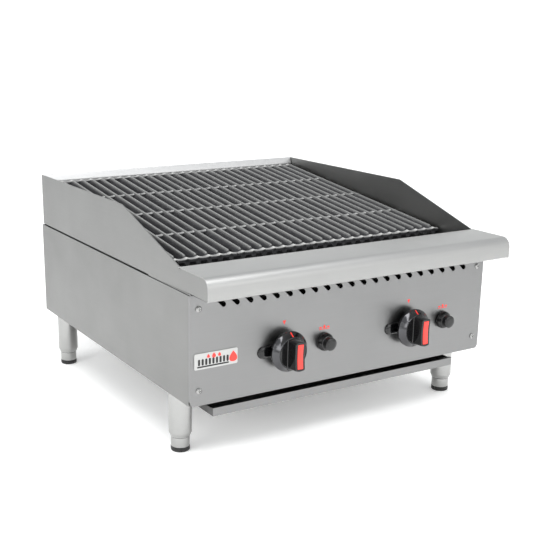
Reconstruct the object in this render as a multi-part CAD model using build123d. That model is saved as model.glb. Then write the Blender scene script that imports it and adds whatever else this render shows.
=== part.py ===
from build123d import *
import math
import os

# Two-burner countertop gas charbroiler.
# Frame: +X to the right as the cook sees it, +Y to the back, +Z up, millimetres.
# Origin: on the worktop, under the middle of the footprint.

# ---------------------------------------------------------------- driving sizes
overall_width = 610.0       # landing ledge, end to end
overall_depth = 700.0       # ledge nose to rear panel
leg_height = 102.0          # worktop to the underside of the body
body_height = 180.7         # side panels, bottom edge to top edge
guard_height = 100.3        # splash guards above the shadow gap
shadow_gap = 2.5            # dark joint between lower body and guards

sheet = 1.5                 # stainless sheet
ledge_overhang = 1.0        # ledge end beyond the lower body, each side
guard_inset = 1.1           # guard face inside the lower body's face
clearance = 0.3             # loose clearance between separate pieces
running = 0.05              # radial clearance of a turning shaft

# landing ledge
ledge_reach = 59.0          # ledge nose in front of the control panel
ledge_depth = 93.5          # nose to rear edge
ledge_lift = 39.1           # ledge top above the lower body's top edge
ledge_lip = 35.7            # height of the nose
nose_radius = 17.0
lip_return = 57.0           # flange under the ledge
ledge_rear_drop = 24.0      # flange down at the ledge's rear edge

# splash guards and back splash
guard_fall = 242.2          # top edge starts to fall, behind the control panel
guard_inset_rear = 5.0      # guard rear edge in front of the rear panel
guard_step = 145.0          # skirt is deeper in front of this, behind the control panel
back_lean = 8.0             # how far the back splash leans forward
back_fold = 12.5            # height of its leaning strip
back_land = 3.4             # flat top of the fold
back_skirt = 42.5           # upright skirt under the leaning strip

# control panel
panel_return = 4.0          # side return behind the panel's face
panel_flange = 14.0         # top and bottom flanges
panel_corner = 8.0
slot_count = 21
slot_pitch = 25.0
slot_width = 8.0
slot_run = 17.0             # slot end centre to end centre
slot_drop = 14.7            # slot centre below the panel's top edge
slot_angle = -45.0
screw_inset = 15.5
screw_top_drop = 22.2
screw_bottom_rise = 25.3
screw_head_r = 5.2
screw_head_h = 2.6
screw_shank_r = 2.1
screw_length = 12.0
badge_size = (78.0, 26.0)
badge_inset = 46.0          # badge centre inside the left edge
badge_rise = 73.5
badge_thickness = 1.2

# knobs and valves
valve_x = 130.5             # valve axis each side of the middle
valve_rise = 69.0           # valve axis above the body's underside
stem_r = 4.0
stem_hole_r = 8.0
knob_standoff = 13.5        # back of the bezel ring in front of the panel
knob_hub_r = 15.0
knob_hub_gap = 2.0
ring_r = 34.0
ring_band = 4.2             # straight part of the bezel ring
ring_lip_r = 26.5
ring_depth = 14.5
ring_wall = 0.9
grip_depth = 22.0
grip_base = 20.0
grip_front = 18.0
insert_size = (11.4, 41.8)
insert_recess = 2.0
insert_proud = 0.5
grip_dip = 2.2              # hollow of the grip's front at mid height
valve_body = 34.0
valve_depth = 34.0
valve_boss_r = 9.0
valve_boss = 23.0
valve_reach = 63.0          # panel face to the rear of the valve bodies

# pilot valves and knobs
pilot_offset = 80.5         # pilot axis to the right of each valve
pilot_stem_r = 3.0
pilot_hole_r = 7.8
pilot_skirt_r = 15.5
pilot_cap_r = 11.0
pilot_knob_height = 23.0
pilot_body = (18.0, 30.0, 22.0)
pilot_boss_r = 7.0
pilot_tube_r = 3.0

# lighting ports
port_offset = 34.0          # port centre to the left of each valve
port_size = (34.0, 21.0)
port_rim = 3.5
port_proud = 5.0
port_neck = 3.0             # length behind the panel

# gas train
pipe_r = 10.7
pipe_wall = 2.7
pipe_reach = 46.0           # panel face to the pipe's axis
pipe_rise = 36.0
pipe_end = 91.5             # beyond the left valve
supply_inset = 42.0         # supply pipe inside the right edge
elbow_half = 14.5
inlet_r = 17.0
inlet_length = 31.0
inlet_bore_r = 12.1
inlet_bore = 18.0

# firebox
firebox_gap = 12.5          # side walls inside the body
firebox_reach = 119.0       # panel face to the front wall
firebox_rise = 38.0
radiant_drop = 52.7         # shelf under the body's top edge
shelf_depth = 12.0
radiant_width = 90.0
radiant_rise = 35.0
radiant_thickness = 2.0

# burners
burner_leg_offset = 75.0
burner_leg = (32.0, 28.0)
burner_wall = 4.0
burner_gap_front = 34.0
burner_gap_rear = 40.5
burner_cross = 30.0
venturi_r = 19.0
venturi_bore_r = 14.5
venturi_reach = 79.0        # panel face to the mouth
shutter_wall = 1.5
shutter_length = 22.0
port_slit = (20.0, 1.8)
port_pitch = 13.0
orifice_r = 5.5

# cooking grates
grate_count = 4
grate_side_gap = 3.0
grate_gap = 1.0             # between neighbours
bar_count = 7
bar_margin = 11.4           # first bar's middle to the side
grate_overhang = 2.0        # in front of the firebox
grate_rear_gap = 2.6
grate_rise = 60.8           # rear end above the front end
grate_lift = 27.7           # front end above the guards' bottom edge
bar_depth = 24.0
ridge_half = 2.0
shoulder_half = 5.4
shoulder_depth = 11.0
stem_half = 2.2
stem_depth = 14.0
rail_thickness = 7.0
rail_top = -3.2
rail_bottom = -9.6
tip_length = 12.0           # low end of each ridge, over the end rail
rest_width = 20.0
rest_thickness = 3.0

# grease trough and drain
trough_front_gap = 1.5
trough_rear_gap = 5.0
trough_drop = 22.8          # rim under the ledge top
trough_depth = (31.0, 36.0)     # front and rear
trough_rear_rise = 14.0
drain_r = 12.0
drain_set = 41.0            # behind the trough's front
drain_below = 6.0           # under the body

# drip tray and runners
tray_leg_gap = 10.0
tray_inset = 14.0           # front behind the panel's face
tray_rear_gap = 54.0
tray_below = 29.7           # underside below the body
tray_depth = 14.0
tray_rim = 4.5
tray_hem = 6.0
runner_ledge = 5.5
runner_inset = 43.0
runner_gap = 1.0

# legs and feet
leg_inset_front = 71.7
leg_inset_rear = 68.4
leg_r = 19.5
leg_neck_r = 16.4
leg_taper = (25.5, 33.0)    # heights where the taper ends and starts
leg_cap = 4.0
foot_r = 15.0
foot_collar_r = 15.8        # visible part between the pad and the tube
foot_collar_gap = 0.4       # under the tube's end
foot_barrel = 40.0
pad_r = 16.0
pad_thickness = 8.5
foot_stud_r = 6.0
foot_stud = 34.0
bridge_thickness = 6.0
bridge_gap = 2.0            # between the foot's barrel and the bridge
mount_stud_r = 6.0
mount_stud = 16.0
nut_height = 8.0
base_channel = (22.0, 14.0)

# ---------------------------------------------------------------- derived places
half_ledge = overall_width / 2
half_body = half_ledge - ledge_overhang
half_guard = half_body - guard_inset
nose_y = -overall_depth / 2
rear_y = overall_depth / 2
panel_y = nose_y + ledge_reach
body_bottom = leg_height
body_top = body_bottom + body_height
guard_bottom = body_top + shadow_gap
guard_top = guard_bottom + guard_height
guard_rear = rear_y - guard_inset_rear
ledge_top = body_top + ledge_lift
ledge_bottom = ledge_top - ledge_lip
ledge_rear = nose_y + ledge_depth
panel_back = panel_y + sheet
inner_half = half_body - sheet
guard_inner = half_guard - sheet
guard_flat_front = panel_y + guard_fall
step_front = panel_y + guard_step
screw_x = half_body - screw_inset
badge_center = (badge_inset - half_body, body_bottom + badge_rise)
valve_z = body_bottom + valve_rise
valve_back = panel_y + valve_reach
pipe_y = panel_y + pipe_reach
pipe_z = body_bottom + pipe_rise
pipe_left = -valve_x - pipe_end
supply_x = half_body - supply_inset
firebox_half = half_body - firebox_gap
firebox_front = panel_y + firebox_reach
firebox_rear = guard_rear - back_lean - sheet
firebox_bottom = body_bottom + firebox_rise
radiant_shelf = body_top - radiant_drop
burner_front = firebox_front + burner_gap_front
burner_rear = firebox_rear - burner_gap_rear
venturi_mouth = panel_y + venturi_reach
grate_pitch = 2 * (guard_inner - grate_side_gap) / grate_count
grate_width = grate_pitch - grate_gap
bar_pitch = (grate_width - 2 * bar_margin) / (bar_count - 1)
grate_front_y = firebox_front - grate_overhang
grate_front_z = guard_bottom + grate_lift
grate_length = math.hypot(firebox_rear - grate_rear_gap - grate_front_y, grate_rise)
grate_tilt = math.degrees(math.asin(grate_rise / grate_length))
trough_front = ledge_rear + trough_front_gap
trough_rear = firebox_front - trough_rear_gap
trough_top = ledge_top - trough_drop
trough_floor_front = trough_top - trough_depth[0]
trough_floor_rear = trough_top - trough_depth[1]
drain_y = trough_front + drain_set
drain_bottom = body_bottom - drain_below
leg_x = half_body - leg_r
leg_front_y = panel_y + leg_inset_front
leg_rear_y = rear_y - leg_inset_rear
tray_half = leg_x - leg_r - tray_leg_gap
tray_front = panel_y + tray_inset
tray_rear = rear_y - tray_rear_gap
tray_bottom = body_bottom - tray_below
runner_front = panel_y + runner_inset
foot_bore_r = foot_r + clearance
leg_places = [(sx * leg_x, y) for y in (leg_front_y, leg_rear_y) for sx in (-1, 1)]
leg_names = ["front_left", "front_right", "rear_left", "rear_right"]
sides = {"left": -1, "right": 1}

os.makedirs("parts", exist_ok=True)


# ---------------------------------------------------------------- helpers
def save(name, shape):
    """Write one sub-part to its own STEP file."""
    shape.label = name
    export_step(shape, "parts/" + name + ".step")


def block(x0, x1, y0, y1, z0, z1):
    """A box given by its two corners."""
    size = (x1 - x0, y1 - y0, z1 - z0)
    return Pos((x0 + x1) / 2, (y0 + y1) / 2, (z0 + z1) / 2) * Box(*size)


def rod_y(x, z, y0, y1, radius):
    """A cylinder along Y."""
    return Pos(x, (y0 + y1) / 2, z) * Rot(90, 0, 0) * Cylinder(radius, y1 - y0)


def rod_z(x, y, z0, z1, radius):
    """A cylinder along Z."""
    return Pos(x, y, (z0 + z1) / 2) * Cylinder(radius, z1 - z0)


def offset_path(path, distance):
    """The path moved sideways, to its left, with mitred corners."""
    moved = []
    for i, (px, py) in enumerate(path):
        before = path[max(i - 1, 0)]
        after = path[min(i + 1, len(path) - 1)]
        a = before if i > 0 else (2 * px - after[0], 2 * py - after[1])
        b = after if i < len(path) - 1 else (2 * px - before[0], 2 * py - before[1])
        ua = (px - a[0], py - a[1])
        ub = (b[0] - px, b[1] - py)
        la = math.hypot(*ua)
        lb = math.hypot(*ub)
        na = (-ua[1] / la, ua[0] / la)
        nb = (-ub[1] / lb, ub[0] / lb)
        scale = distance / (1 + na[0] * nb[0] + na[1] * nb[1])
        moved.append((px + (na[0] + nb[0]) * scale, py + (na[1] + nb[1]) * scale))
    return moved


def bent_sheet(path, thickness, half_length, radii=None):
    """Sheet folded along a (y, z) path, its thickness to the path's left, centred on X."""
    inner = offset_path(path, thickness)
    count = len(path) - 2
    radii = radii or [thickness + 1.0] * count
    outer_radii = []
    inner_radii = []
    for i in range(count):
        a, b, c = path[i], path[i + 1], path[i + 2]
        turn = (b[0] - a[0]) * (c[1] - b[1]) - (b[1] - a[1]) * (c[0] - b[0])
        outer_radii.append(radii[i] if turn > 0 else radii[i] - thickness)
        inner_radii.append(radii[i] - thickness if turn > 0 else radii[i])
    first = FilletPolyline(*path, radius=outer_radii) if count else Line(*path)
    second = FilletPolyline(*inner, radius=inner_radii) if count else Line(*inner)
    outline = [first, second, Line(path[0], inner[0]), Line(path[-1], inner[-1])]
    edges = [Plane.YZ * edge for line in outline for edge in line.edges()]
    return extrude(make_face(edges), half_length, both=True)


def side_plate(outline, x0, x1):
    """A flat plate with a (y, z) outline between two X values."""
    face = make_face(Plane.YZ.offset(x0) * Polyline(*outline, close=True))
    return extrude(face, x1 - x0, dir=(1, 0, 0))


def turned(profile, x, z):
    """Revolve a (radius, distance towards the cook) profile about an axis along Y."""
    face = make_face(Plane.XY * Polyline(*profile, close=True))
    solid = revolve(face, Axis.Y, 360)
    return Pos(x, panel_y, z) * Rot(180, 0, 0) * solid


def slot_tool(x, z, length, width, y0, y1, angle=0.0):
    """A round-ended slot cut through along Y."""
    face = Rot(0, 0, angle) * SlotOverall(length, width)
    tool = extrude(face, (y1 - y0) / 2, both=True)
    return Pos(x, (y0 + y1) / 2, z) * Rot(90, 0, 0) * tool


def in_grate_frame(shape):
    """Place a shape drawn flat on the tilted grate plane."""
    return Pos(0, grate_front_y, grate_front_z) * Rot(grate_tilt, 0, 0) * shape


# ---------------------------------------------------------------- lower body
def make_side_panel(sign):
    """Outer side panel with a bottom flange that the legs bolt to."""
    front = panel_y + sheet + panel_return
    rear = rear_y - sheet
    inner_edge = leg_x - leg_r
    plate = block(inner_half, half_body, front, rear, body_bottom, body_top)
    flange = block(inner_edge, half_body, front, rear, body_bottom, body_bottom + sheet)
    panel = plate + flange
    for x, y in leg_places[:3:2]:
        hole = rod_z(leg_x, y, body_bottom - 1, body_bottom + sheet + 1, mount_stud_r + clearance)
        panel -= hole
    return panel if sign > 0 else mirror(panel, Plane.YZ)


def make_rear_panel():
    """Rear panel with the gas inlet hole and two rows of air louvres."""
    panel = block(-half_body, half_body, rear_y - sheet, rear_y, body_bottom, body_top)
    panel -= rod_y(supply_x, pipe_z, rear_y - 5, rear_y + 5, inlet_r + 1.5)
    for row in (0, 1):
        z = body_top - 30 - 22 * row
        for x in (-180, -60, 60, 180):
            panel -= slot_tool(x, z, 84, 6, rear_y - 5, rear_y + 5)
    return panel


def slot_places():
    """Centre X of each vent slot."""
    middle = (slot_count - 1) / 2
    return [(i - middle) * slot_pitch for i in range(slot_count)]


def make_control_panel():
    """Front panel: a shallow folded tray with vents, stem holes and lighting ports."""
    face = RectangleRounded(2 * half_body, body_height, panel_corner)
    plate = extrude(face, sheet / 2, both=True)
    plate = Pos(0, panel_y + sheet / 2, (body_bottom + body_top) / 2) * Rot(90, 0, 0) * plate
    for sign in (-1, 1):
        corner = block(half_body - panel_corner, half_body, panel_y, panel_back,
                       body_top - panel_corner, body_top)
        plate += corner if sign > 0 else mirror(corner, Plane.YZ)
        strip = block(inner_half, half_body, panel_y, panel_back + panel_return - clearance,
                      body_bottom + panel_corner, body_top)
        plate += strip if sign > 0 else mirror(strip, Plane.YZ)
    half_flange = inner_half - 1
    low_half = leg_x - leg_r - clearance
    plate += block(-half_flange, half_flange, panel_y, panel_y + panel_flange, body_top - sheet, body_top)
    plate += block(-low_half, low_half, panel_y, panel_y + panel_flange, body_bottom, body_bottom + sheet)
    y0, y1 = panel_y - 5, panel_back + 5
    for x in slot_places():
        plate -= slot_tool(x, body_top - slot_drop, slot_run + slot_width, slot_width,
                           y0, y1, slot_angle)
    for sign in (-1, 1):
        x = sign * valve_x
        plate -= rod_y(x, valve_z, y0, y1, stem_hole_r)
        plate -= rod_y(x + pilot_offset, valve_z, y0, y1, pilot_hole_r)
        plate -= slot_tool(x - port_offset, valve_z, port_size[0] - 2 * port_rim + 2,
                           port_size[1] - 2 * port_rim + 2, y0, y1)
        for z in screw_heights():
            plate -= rod_y(sign * screw_x, z, y0, y1, screw_shank_r + clearance)
    return plate


def screw_heights():
    """Heights of the upper and lower panel screws."""
    return (body_top - screw_top_drop, body_bottom + screw_bottom_rise)


def make_panel_screws():
    """Four pan-head screws with a cross recess."""
    dome = screw_head_h * 0.45
    profile = [(0, -screw_length), (screw_shank_r, -screw_length), (screw_shank_r, 0),
               (screw_head_r, 0), (screw_head_r, dome), (screw_head_r * 0.62, screw_head_h),
               (0, screw_head_h)]
    screws = []
    for sign in (-1, 1):
        for z in screw_heights():
            screw = turned(profile, sign * screw_x, z)
            y1 = panel_y - screw_head_h + 1.3
            for size in ((5.0, 1.2), (1.2, 5.0)):
                screw -= block(sign * screw_x - size[0] / 2, sign * screw_x + size[0] / 2,
                               panel_y - screw_head_h - 1, y1, z - size[1] / 2, z + size[1] / 2)
            screws.append(screw)
    return Compound(screws)


def make_badge():
    """Blank name plate with rounded corners."""
    plate = extrude(RectangleRounded(badge_size[0], badge_size[1], 2.5), badge_thickness / 2, both=True)
    y = panel_y - badge_thickness / 2
    return Pos(badge_center[0], y, badge_center[1]) * Rot(90, 0, 0) * plate


def make_port_covers():
    """Two domed oblong black plugs that close the lighting ports."""
    length, width = port_size
    covers = []
    for sign in (-1, 1):
        x = sign * valve_x - port_offset
        neck = 2 * port_rim - 2 + 2 * clearance
        cover = slot_tool(x, valve_z, length, width, panel_y - port_proud, panel_y)
        cover = fillet(cover.faces().sort_by(Axis.Y)[0].edges(), port_proud * 0.85)
        cover += slot_tool(x, valve_z, length - neck, width - neck, panel_y, panel_back + port_neck)
        covers.append(cover)
    return Compound(covers)


def make_base_cross_members():
    """Two channels across the underside, front and rear, between the side flanges."""
    depth, height = base_channel
    half = leg_x - leg_r - clearance
    z = body_bottom
    members = []
    for y0 in (panel_y + panel_flange + 1, rear_y - sheet - depth):
        path = [(y0 + depth, z + height), (y0 + depth, z), (y0, z), (y0, z + height)]
        members.append(bent_sheet(path[::-1], sheet, half))
    return Compound(members)


# ---------------------------------------------------------------- upper body
def make_ledge():
    """Landing ledge: one sheet with a rounded nose, open at its ends."""
    path = [(nose_y + lip_return, ledge_bottom), (nose_y, ledge_bottom),
            (nose_y, ledge_top), (ledge_rear, ledge_top), (ledge_rear, ledge_top - ledge_rear_drop)]
    ledge = bent_sheet(path[::-1], sheet, half_ledge, [sheet + 1, nose_radius, sheet + 1])
    trim_z = ledge_top - sheet - clearance / 2
    for sign in (-1, 1):
        end = block(guard_inner - clearance, half_ledge + 1, ledge_rear - 3.0, ledge_rear + 1,
                    ledge_top - ledge_rear_drop - 1, trim_z)
        ledge -= end if sign > 0 else mirror(end, Plane.YZ)
        end = block(guard_inner - clearance, half_ledge + 1, nose_y + sheet + 1, nose_y + lip_return + 1,
                    ledge_bottom - 1, ledge_bottom + sheet + 0.1)
        ledge -= end if sign > 0 else mirror(end, Plane.YZ)
    return ledge


def make_guard(sign):
    """Side splash guard; its front end closes the ledge's open end."""
    inset = sheet + clearance
    nose_in = nose_y + inset
    low = body_top + clearance + 0.2
    top_in = ledge_top - inset
    arc_r = nose_radius - inset
    fold = sheet + 1 + clearance
    corner = Polyline((nose_in + arc_r, top_in), (ledge_rear, top_in), (ledge_rear, ledge_top - 0.2),
                      (guard_flat_front, guard_top), (guard_rear, guard_top),
                      (guard_rear, guard_bottom), (step_front, guard_bottom), (step_front, low),
                      (nose_y + lip_return + 1.2, low), (nose_y + lip_return + 1.2, ledge_bottom),
                      (nose_y + fold, ledge_bottom), (nose_y + fold, ledge_bottom + fold),
                      (nose_in, ledge_bottom + fold), (nose_in, top_in - arc_r))
    arc = CenterArc((nose_in + arc_r, top_in - arc_r), arc_r, 90, 90)
    plane = Plane.YZ.offset(guard_inner)
    outline = [plane * edge for edge in corner.edges() + arc.edges()]
    plate = extrude(make_face(outline), sheet, dir=(1, 0, 0))
    flange = block(firebox_half, guard_inner + 0.1, step_front, guard_rear - 14, guard_bottom,
                   guard_bottom + sheet)
    guard = plate + flange
    return guard if sign > 0 else mirror(guard, Plane.YZ)


def make_back_splash():
    """Rear guard: an upright skin folded forward into a leaning strip and a skirt."""
    lean_y = guard_rear - back_lean
    fold_z = guard_top - back_fold
    skirt_z = fold_z - back_skirt
    path = [(guard_rear, guard_bottom), (guard_rear, guard_top), (guard_rear - back_land, guard_top),
            (lean_y, fold_z), (lean_y, skirt_z)]
    return bent_sheet(path, sheet, guard_inner - 1.2, [sheet + 0.2, sheet + 0.2, 2 * sheet])


# ---------------------------------------------------------------- firebox
def wall_top(y):
    """Height of the firebox side walls' top edge, just under the grates."""
    slope = math.tan(math.radians(grate_tilt))
    depth = bar_depth / math.cos(math.radians(grate_tilt))
    return grate_front_z + slope * (y - grate_front_y) - depth - 1.0


def make_firebox_side(sign):
    """Firebox side wall with a foot flange that reaches the side panel."""
    outline = [(firebox_front, firebox_bottom), (firebox_rear, firebox_bottom),
               (firebox_rear, wall_top(firebox_rear)), (firebox_front, wall_top(firebox_front))]
    wall = side_plate(outline, firebox_half - sheet, firebox_half)
    wall += block(firebox_half, inner_half, firebox_front, firebox_rear, firebox_bottom,
                  firebox_bottom + sheet)
    return wall if sign > 0 else mirror(wall, Plane.YZ)


def make_firebox_front():
    """Front wall of the firebox, which also shields the valves, with a radiant shelf."""
    half = firebox_half
    wall = block(-half, half, firebox_front - sheet, firebox_front, firebox_bottom,
                 wall_top(firebox_front) - rest_thickness - 2)
    wall += block(-half + sheet, half - sheet, firebox_front - sheet, firebox_front + shelf_depth,
                  radiant_shelf - sheet, radiant_shelf)
    for sign in (-1, 1):
        x = sign * valve_x
        wall -= rod_y(x, valve_z, firebox_front - 5, firebox_front + 5, venturi_r + 1)
        wall -= rod_y(x + pilot_offset, valve_z, firebox_front - 5, firebox_front + 5, pilot_tube_r + 1)
    wall -= rod_y(supply_x, pipe_z, firebox_front - 5, firebox_front + 5, pipe_r + 1.5)
    return wall


def make_firebox_rear():
    """Rear wall of the firebox with a radiant shelf."""
    half = firebox_half
    rear = firebox_rear
    wall = block(-half, half, rear, rear + sheet, firebox_bottom, wall_top(rear) - rest_thickness - 4)
    wall += block(-half + sheet, half - sheet, rear - shelf_depth, rear + sheet,
                  radiant_shelf - sheet, radiant_shelf)
    wall -= rod_y(supply_x, pipe_z, rear - 5, rear + 5, inlet_r + 1.5)
    return wall


def make_grate_rest(front):
    """Angle bar under the grates' ends: a tilted seat on an upright web."""
    half = firebox_half - sheet - clearance
    seat_top = -bar_depth - clearance
    if front:
        y0, y1 = 0.5, 0.5 + rest_width
    else:
        y0, y1 = grate_length - 1.0 - rest_width, grate_length - 1.0
    seat = in_grate_frame(block(-half, half, y0, y1, seat_top - rest_thickness, seat_top))
    box = seat.bounding_box()
    if front:
        web = block(-half, half, firebox_front, firebox_front + rest_thickness,
                    box.min.Z - 16, box.min.Z + 2.0)
    else:
        web = block(-half, half, firebox_rear - rest_thickness, firebox_rear,
                    box.min.Z - 18, box.max.Z - 2.6)
    return seat + web


def make_radiants():
    """Four roof-shaped radiants, one over each burner leg."""
    y0, y1 = firebox_front + 1, firebox_rear - 1
    half = radiant_width / 2
    z = radiant_shelf
    peak = z + radiant_rise
    t = radiant_thickness * 1.3
    outline = [(-half, z), (0, peak), (half, z), (half - t, z), (0, peak - t), (-half + t, z)]
    roofs = []
    for x in leg_centres():
        face = make_face(Plane.XZ.offset(-y0) * Polyline(*[(x + u, v) for u, v in outline], close=True))
        roofs.append(extrude(face, y1 - y0, dir=(0, 1, 0)))
    return Compound(roofs)


def leg_centres():
    """X of the four burner legs."""
    return [sx * valve_x + so * burner_leg_offset for sx in (-1, 1) for so in (-1, 1)]


def make_burner(sign):
    """Cast H-shaped burner: two ported legs, two cross ducts and the mixing tube."""
    x0 = sign * valve_x
    width, height = burner_leg
    z0, z1 = valve_z - height / 2, valve_z + height / 2
    inner = burner_wall
    body = rod_y(x0, valve_z, venturi_mouth, burner_front + 40, venturi_r)
    hollow = rod_y(x0, valve_z, venturi_mouth - 1, burner_front + 30, venturi_bore_r)
    duct_y = (burner_front + 10, burner_rear - 60)
    for y in duct_y:
        body += block(x0 - burner_leg_offset, x0 + burner_leg_offset, y, y + burner_cross, z0, z1)
        hollow += block(x0 - burner_leg_offset, x0 + burner_leg_offset, y + inner,
                        y + burner_cross - inner, z0 + inner, z1 - inner)
    for so in (-1, 1):
        x = x0 + so * burner_leg_offset
        body += block(x - width / 2, x + width / 2, burner_front, burner_rear, z0, z1)
        hollow += block(x - width / 2 + inner, x + width / 2 - inner, burner_front + inner,
                        burner_rear - inner, z0 + inner, z1 - inner)
        count = int((burner_rear - burner_front - 30) / port_pitch)
        first = (burner_front + burner_rear) / 2 - (count - 1) * port_pitch / 2
        slits = [block(x - port_slit[0] / 2, x + port_slit[0] / 2, first + i * port_pitch - port_slit[1] / 2,
                       first + i * port_pitch + port_slit[1] / 2, z1 - inner - 0.5, z1 + 1)
                 for i in range(count)]
        hollow += slits
    return body - hollow


def make_air_shutter(sign):
    """Sleeve that turns on the mixing tube's mouth to set the air."""
    x0 = sign * valve_x
    y0 = venturi_mouth + 1
    y1 = y0 + shutter_length
    inner_r = venturi_r + running
    sleeve = rod_y(x0, valve_z, y0, y1, inner_r + shutter_wall)
    sleeve -= rod_y(x0, valve_z, y0 - 1, y1 + 1, inner_r)
    window = block(x0 - 30, x0 + 30, y0 + 5, y1 - 5, valve_z - 6, valve_z + 6)
    return sleeve - window


# ---------------------------------------------------------------- gas train
def make_gas_valve(sign):
    """Valve body with a stem boss to the front and an inlet stub down to the manifold."""
    x0 = sign * valve_x
    half = valve_body / 2
    front = valve_back - valve_depth
    body = block(x0 - half, x0 + half, front, valve_back, valve_z - half, valve_z + half)
    body = chamfer(body.edges().filter_by(Axis.Y), 5)
    body += rod_y(x0, valve_z, front - valve_boss, front, valve_boss_r)
    body += rod_z(x0, pipe_y, pipe_z + pipe_r - pipe_wall + 0.5, valve_z - half + 1, 8.0)
    body -= rod_y(x0, valve_z, front - valve_boss - 1, front + 14, stem_r + running)
    body -= rod_y(x0, valve_z, valve_back - 8, valve_back + 1, orifice_r - 1.0 + running)
    return body


def make_orifices():
    """Brass orifice spuds screwed into the valves' outlets."""
    spuds = []
    for sign in (-1, 1):
        x0 = sign * valve_x
        spud = rod_y(x0, valve_z, valve_back, valve_back + 8, orifice_r + 2)
        spud += rod_y(x0, valve_z, valve_back + 8, venturi_mouth + 6, orifice_r)
        spud += rod_y(x0, valve_z, valve_back - 7.5, valve_back, orifice_r - 1.0)
        spud -= rod_y(x0, valve_z, valve_back - 9, venturi_mouth + 4, 2.0)
        spud -= rod_y(x0, valve_z, venturi_mouth + 3, venturi_mouth + 8, 0.7)
        spuds.append(spud)
    return Compound(spuds)


def make_manifold():
    """Front manifold pipe, closed at its left end, with a hole under each valve."""
    right = supply_x - elbow_half
    length = right - pipe_left
    middle = (right + pipe_left) / 2
    pipe = Pos(middle, pipe_y, pipe_z) * Rot(0, 90, 0) * Cylinder(pipe_r, length)
    bore = Pos(middle + 3, pipe_y, pipe_z) * Rot(0, 90, 0) * Cylinder(pipe_r - pipe_wall, length)
    pipe -= bore
    for sign in (-1, 1):
        x0 = sign * valve_x
        pipe -= rod_z(x0, pipe_y, pipe_z, pipe_z + pipe_r + 2, 8.0 + running)
        pipe -= rod_z(x0 + pilot_offset, pipe_y, pipe_z, pipe_z + pipe_r + 2, 5.0 + running)
    return pipe


def make_supply_pipe():
    """Elbow and pipe from the manifold to the rear inlet, along the right side."""
    half = elbow_half
    elbow = block(supply_x - half, supply_x + half, pipe_y - half, pipe_y + half,
                  pipe_z - half, pipe_z + half)
    elbow = chamfer(elbow.edges().filter_by(Axis.Z), 4)
    rear = rear_y - 1 - inlet_length
    pipe = elbow + rod_y(supply_x, pipe_z, pipe_y + half - 1, rear, pipe_r)
    bore_r = pipe_r - pipe_wall
    pipe -= rod_y(supply_x, pipe_z, pipe_y, rear + 1, bore_r)
    inlet = Pos(supply_x - half, pipe_y, pipe_z) * Rot(0, 90, 0) * Cylinder(bore_r, 2 * half)
    return pipe - inlet


def make_inlet():
    """Female gas inlet at the rear panel."""
    y1 = rear_y - 1
    y0 = y1 - inlet_length
    inlet = rod_y(supply_x, pipe_z, y0, y1, inlet_r)
    inlet = chamfer(inlet.edges().filter_by(GeomType.CIRCLE), 1.5)
    inlet -= rod_y(supply_x, pipe_z, y1 - inlet_bore, y1 + 1, inlet_bore_r)
    inlet -= rod_y(supply_x, pipe_z, y0 - 1, y1, pipe_r - pipe_wall)
    return inlet


def make_pilot_valves():
    """Small pilot valves on the manifold, one beside each main valve."""
    width, depth, height = pilot_body
    front = pipe_y - depth / 2
    valves = []
    for sign in (-1, 1):
        x = sign * valve_x + pilot_offset
        body = block(x - width / 2, x + width / 2, front, front + depth, valve_z - height / 2,
                     valve_z + height / 2)
        body += rod_y(x, valve_z, panel_back + 2, front, pilot_boss_r)
        body += rod_z(x, pipe_y, pipe_z + pipe_r - pipe_wall + 0.5, valve_z - height / 2 + 1, 5.0)
        body -= rod_y(x, valve_z, panel_back, front + 12, pilot_stem_r + running)
        body -= rod_y(x, valve_z, front + depth - 6, front + depth + 1, pilot_tube_r + running)
        valves.append(body)
    return Compound(valves)


def make_pilot_tubes():
    """Straight pilot gas tubes from the pilot valves to the pilot burners."""
    start = pipe_y + pilot_body[1] / 2 - 5
    end = firebox_front + 10
    tubes = []
    for sign in (-1, 1):
        x = sign * valve_x + pilot_offset
        tube = rod_y(x, valve_z, start, end, pilot_tube_r)
        tubes.append(tube - rod_y(x, valve_z, start - 1, end + 1, pilot_tube_r - 1))
    return Compound(tubes)


def make_pilot_burners():
    """Hooded pilot burners standing in front of the burner legs."""
    y0 = firebox_front + 10
    burners = []
    for sign in (-1, 1):
        x = sign * valve_x + pilot_offset
        body = block(x - 6, x + 6, y0, y0 + 12, valve_z - 6, valve_z + 26)
        body -= rod_y(x, valve_z, y0 - 1, y0 + 6, pilot_tube_r - 1)
        body -= block(x - 4, x + 4, y0 + 4, y0 + 13, valve_z + 12, valve_z + 22)
        burners.append(body)
    return Compound(burners)


# ---------------------------------------------------------------- knobs
def ring_profile(inset):
    """Bezel ring outline as (radius, height above its back), moved inwards."""
    return [(ring_r - inset, 0), (ring_r - inset, ring_band), (ring_lip_r - inset, ring_depth)]


def make_knob_ring(sign):
    """Polished bezel ring: a short band and a cone, open at both ends."""
    outer = ring_profile(0)
    inner = ring_profile(ring_wall)[::-1]
    profile = [(r, knob_standoff + h) for r, h in outer + inner]
    return turned(profile, sign * valve_x, valve_z)


def grip_hollow(x, bottom_y):
    """Cylinder along X whose surface is the hollow front of a grip, deepest at bottom_y."""
    half = ring_lip_r - ring_wall
    radius = (half**2 + grip_dip**2) / (2 * grip_dip)
    return Pos(x, bottom_y - radius, valve_z) * Rot(0, 90, 0) * Cylinder(radius, 4 * half)


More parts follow.
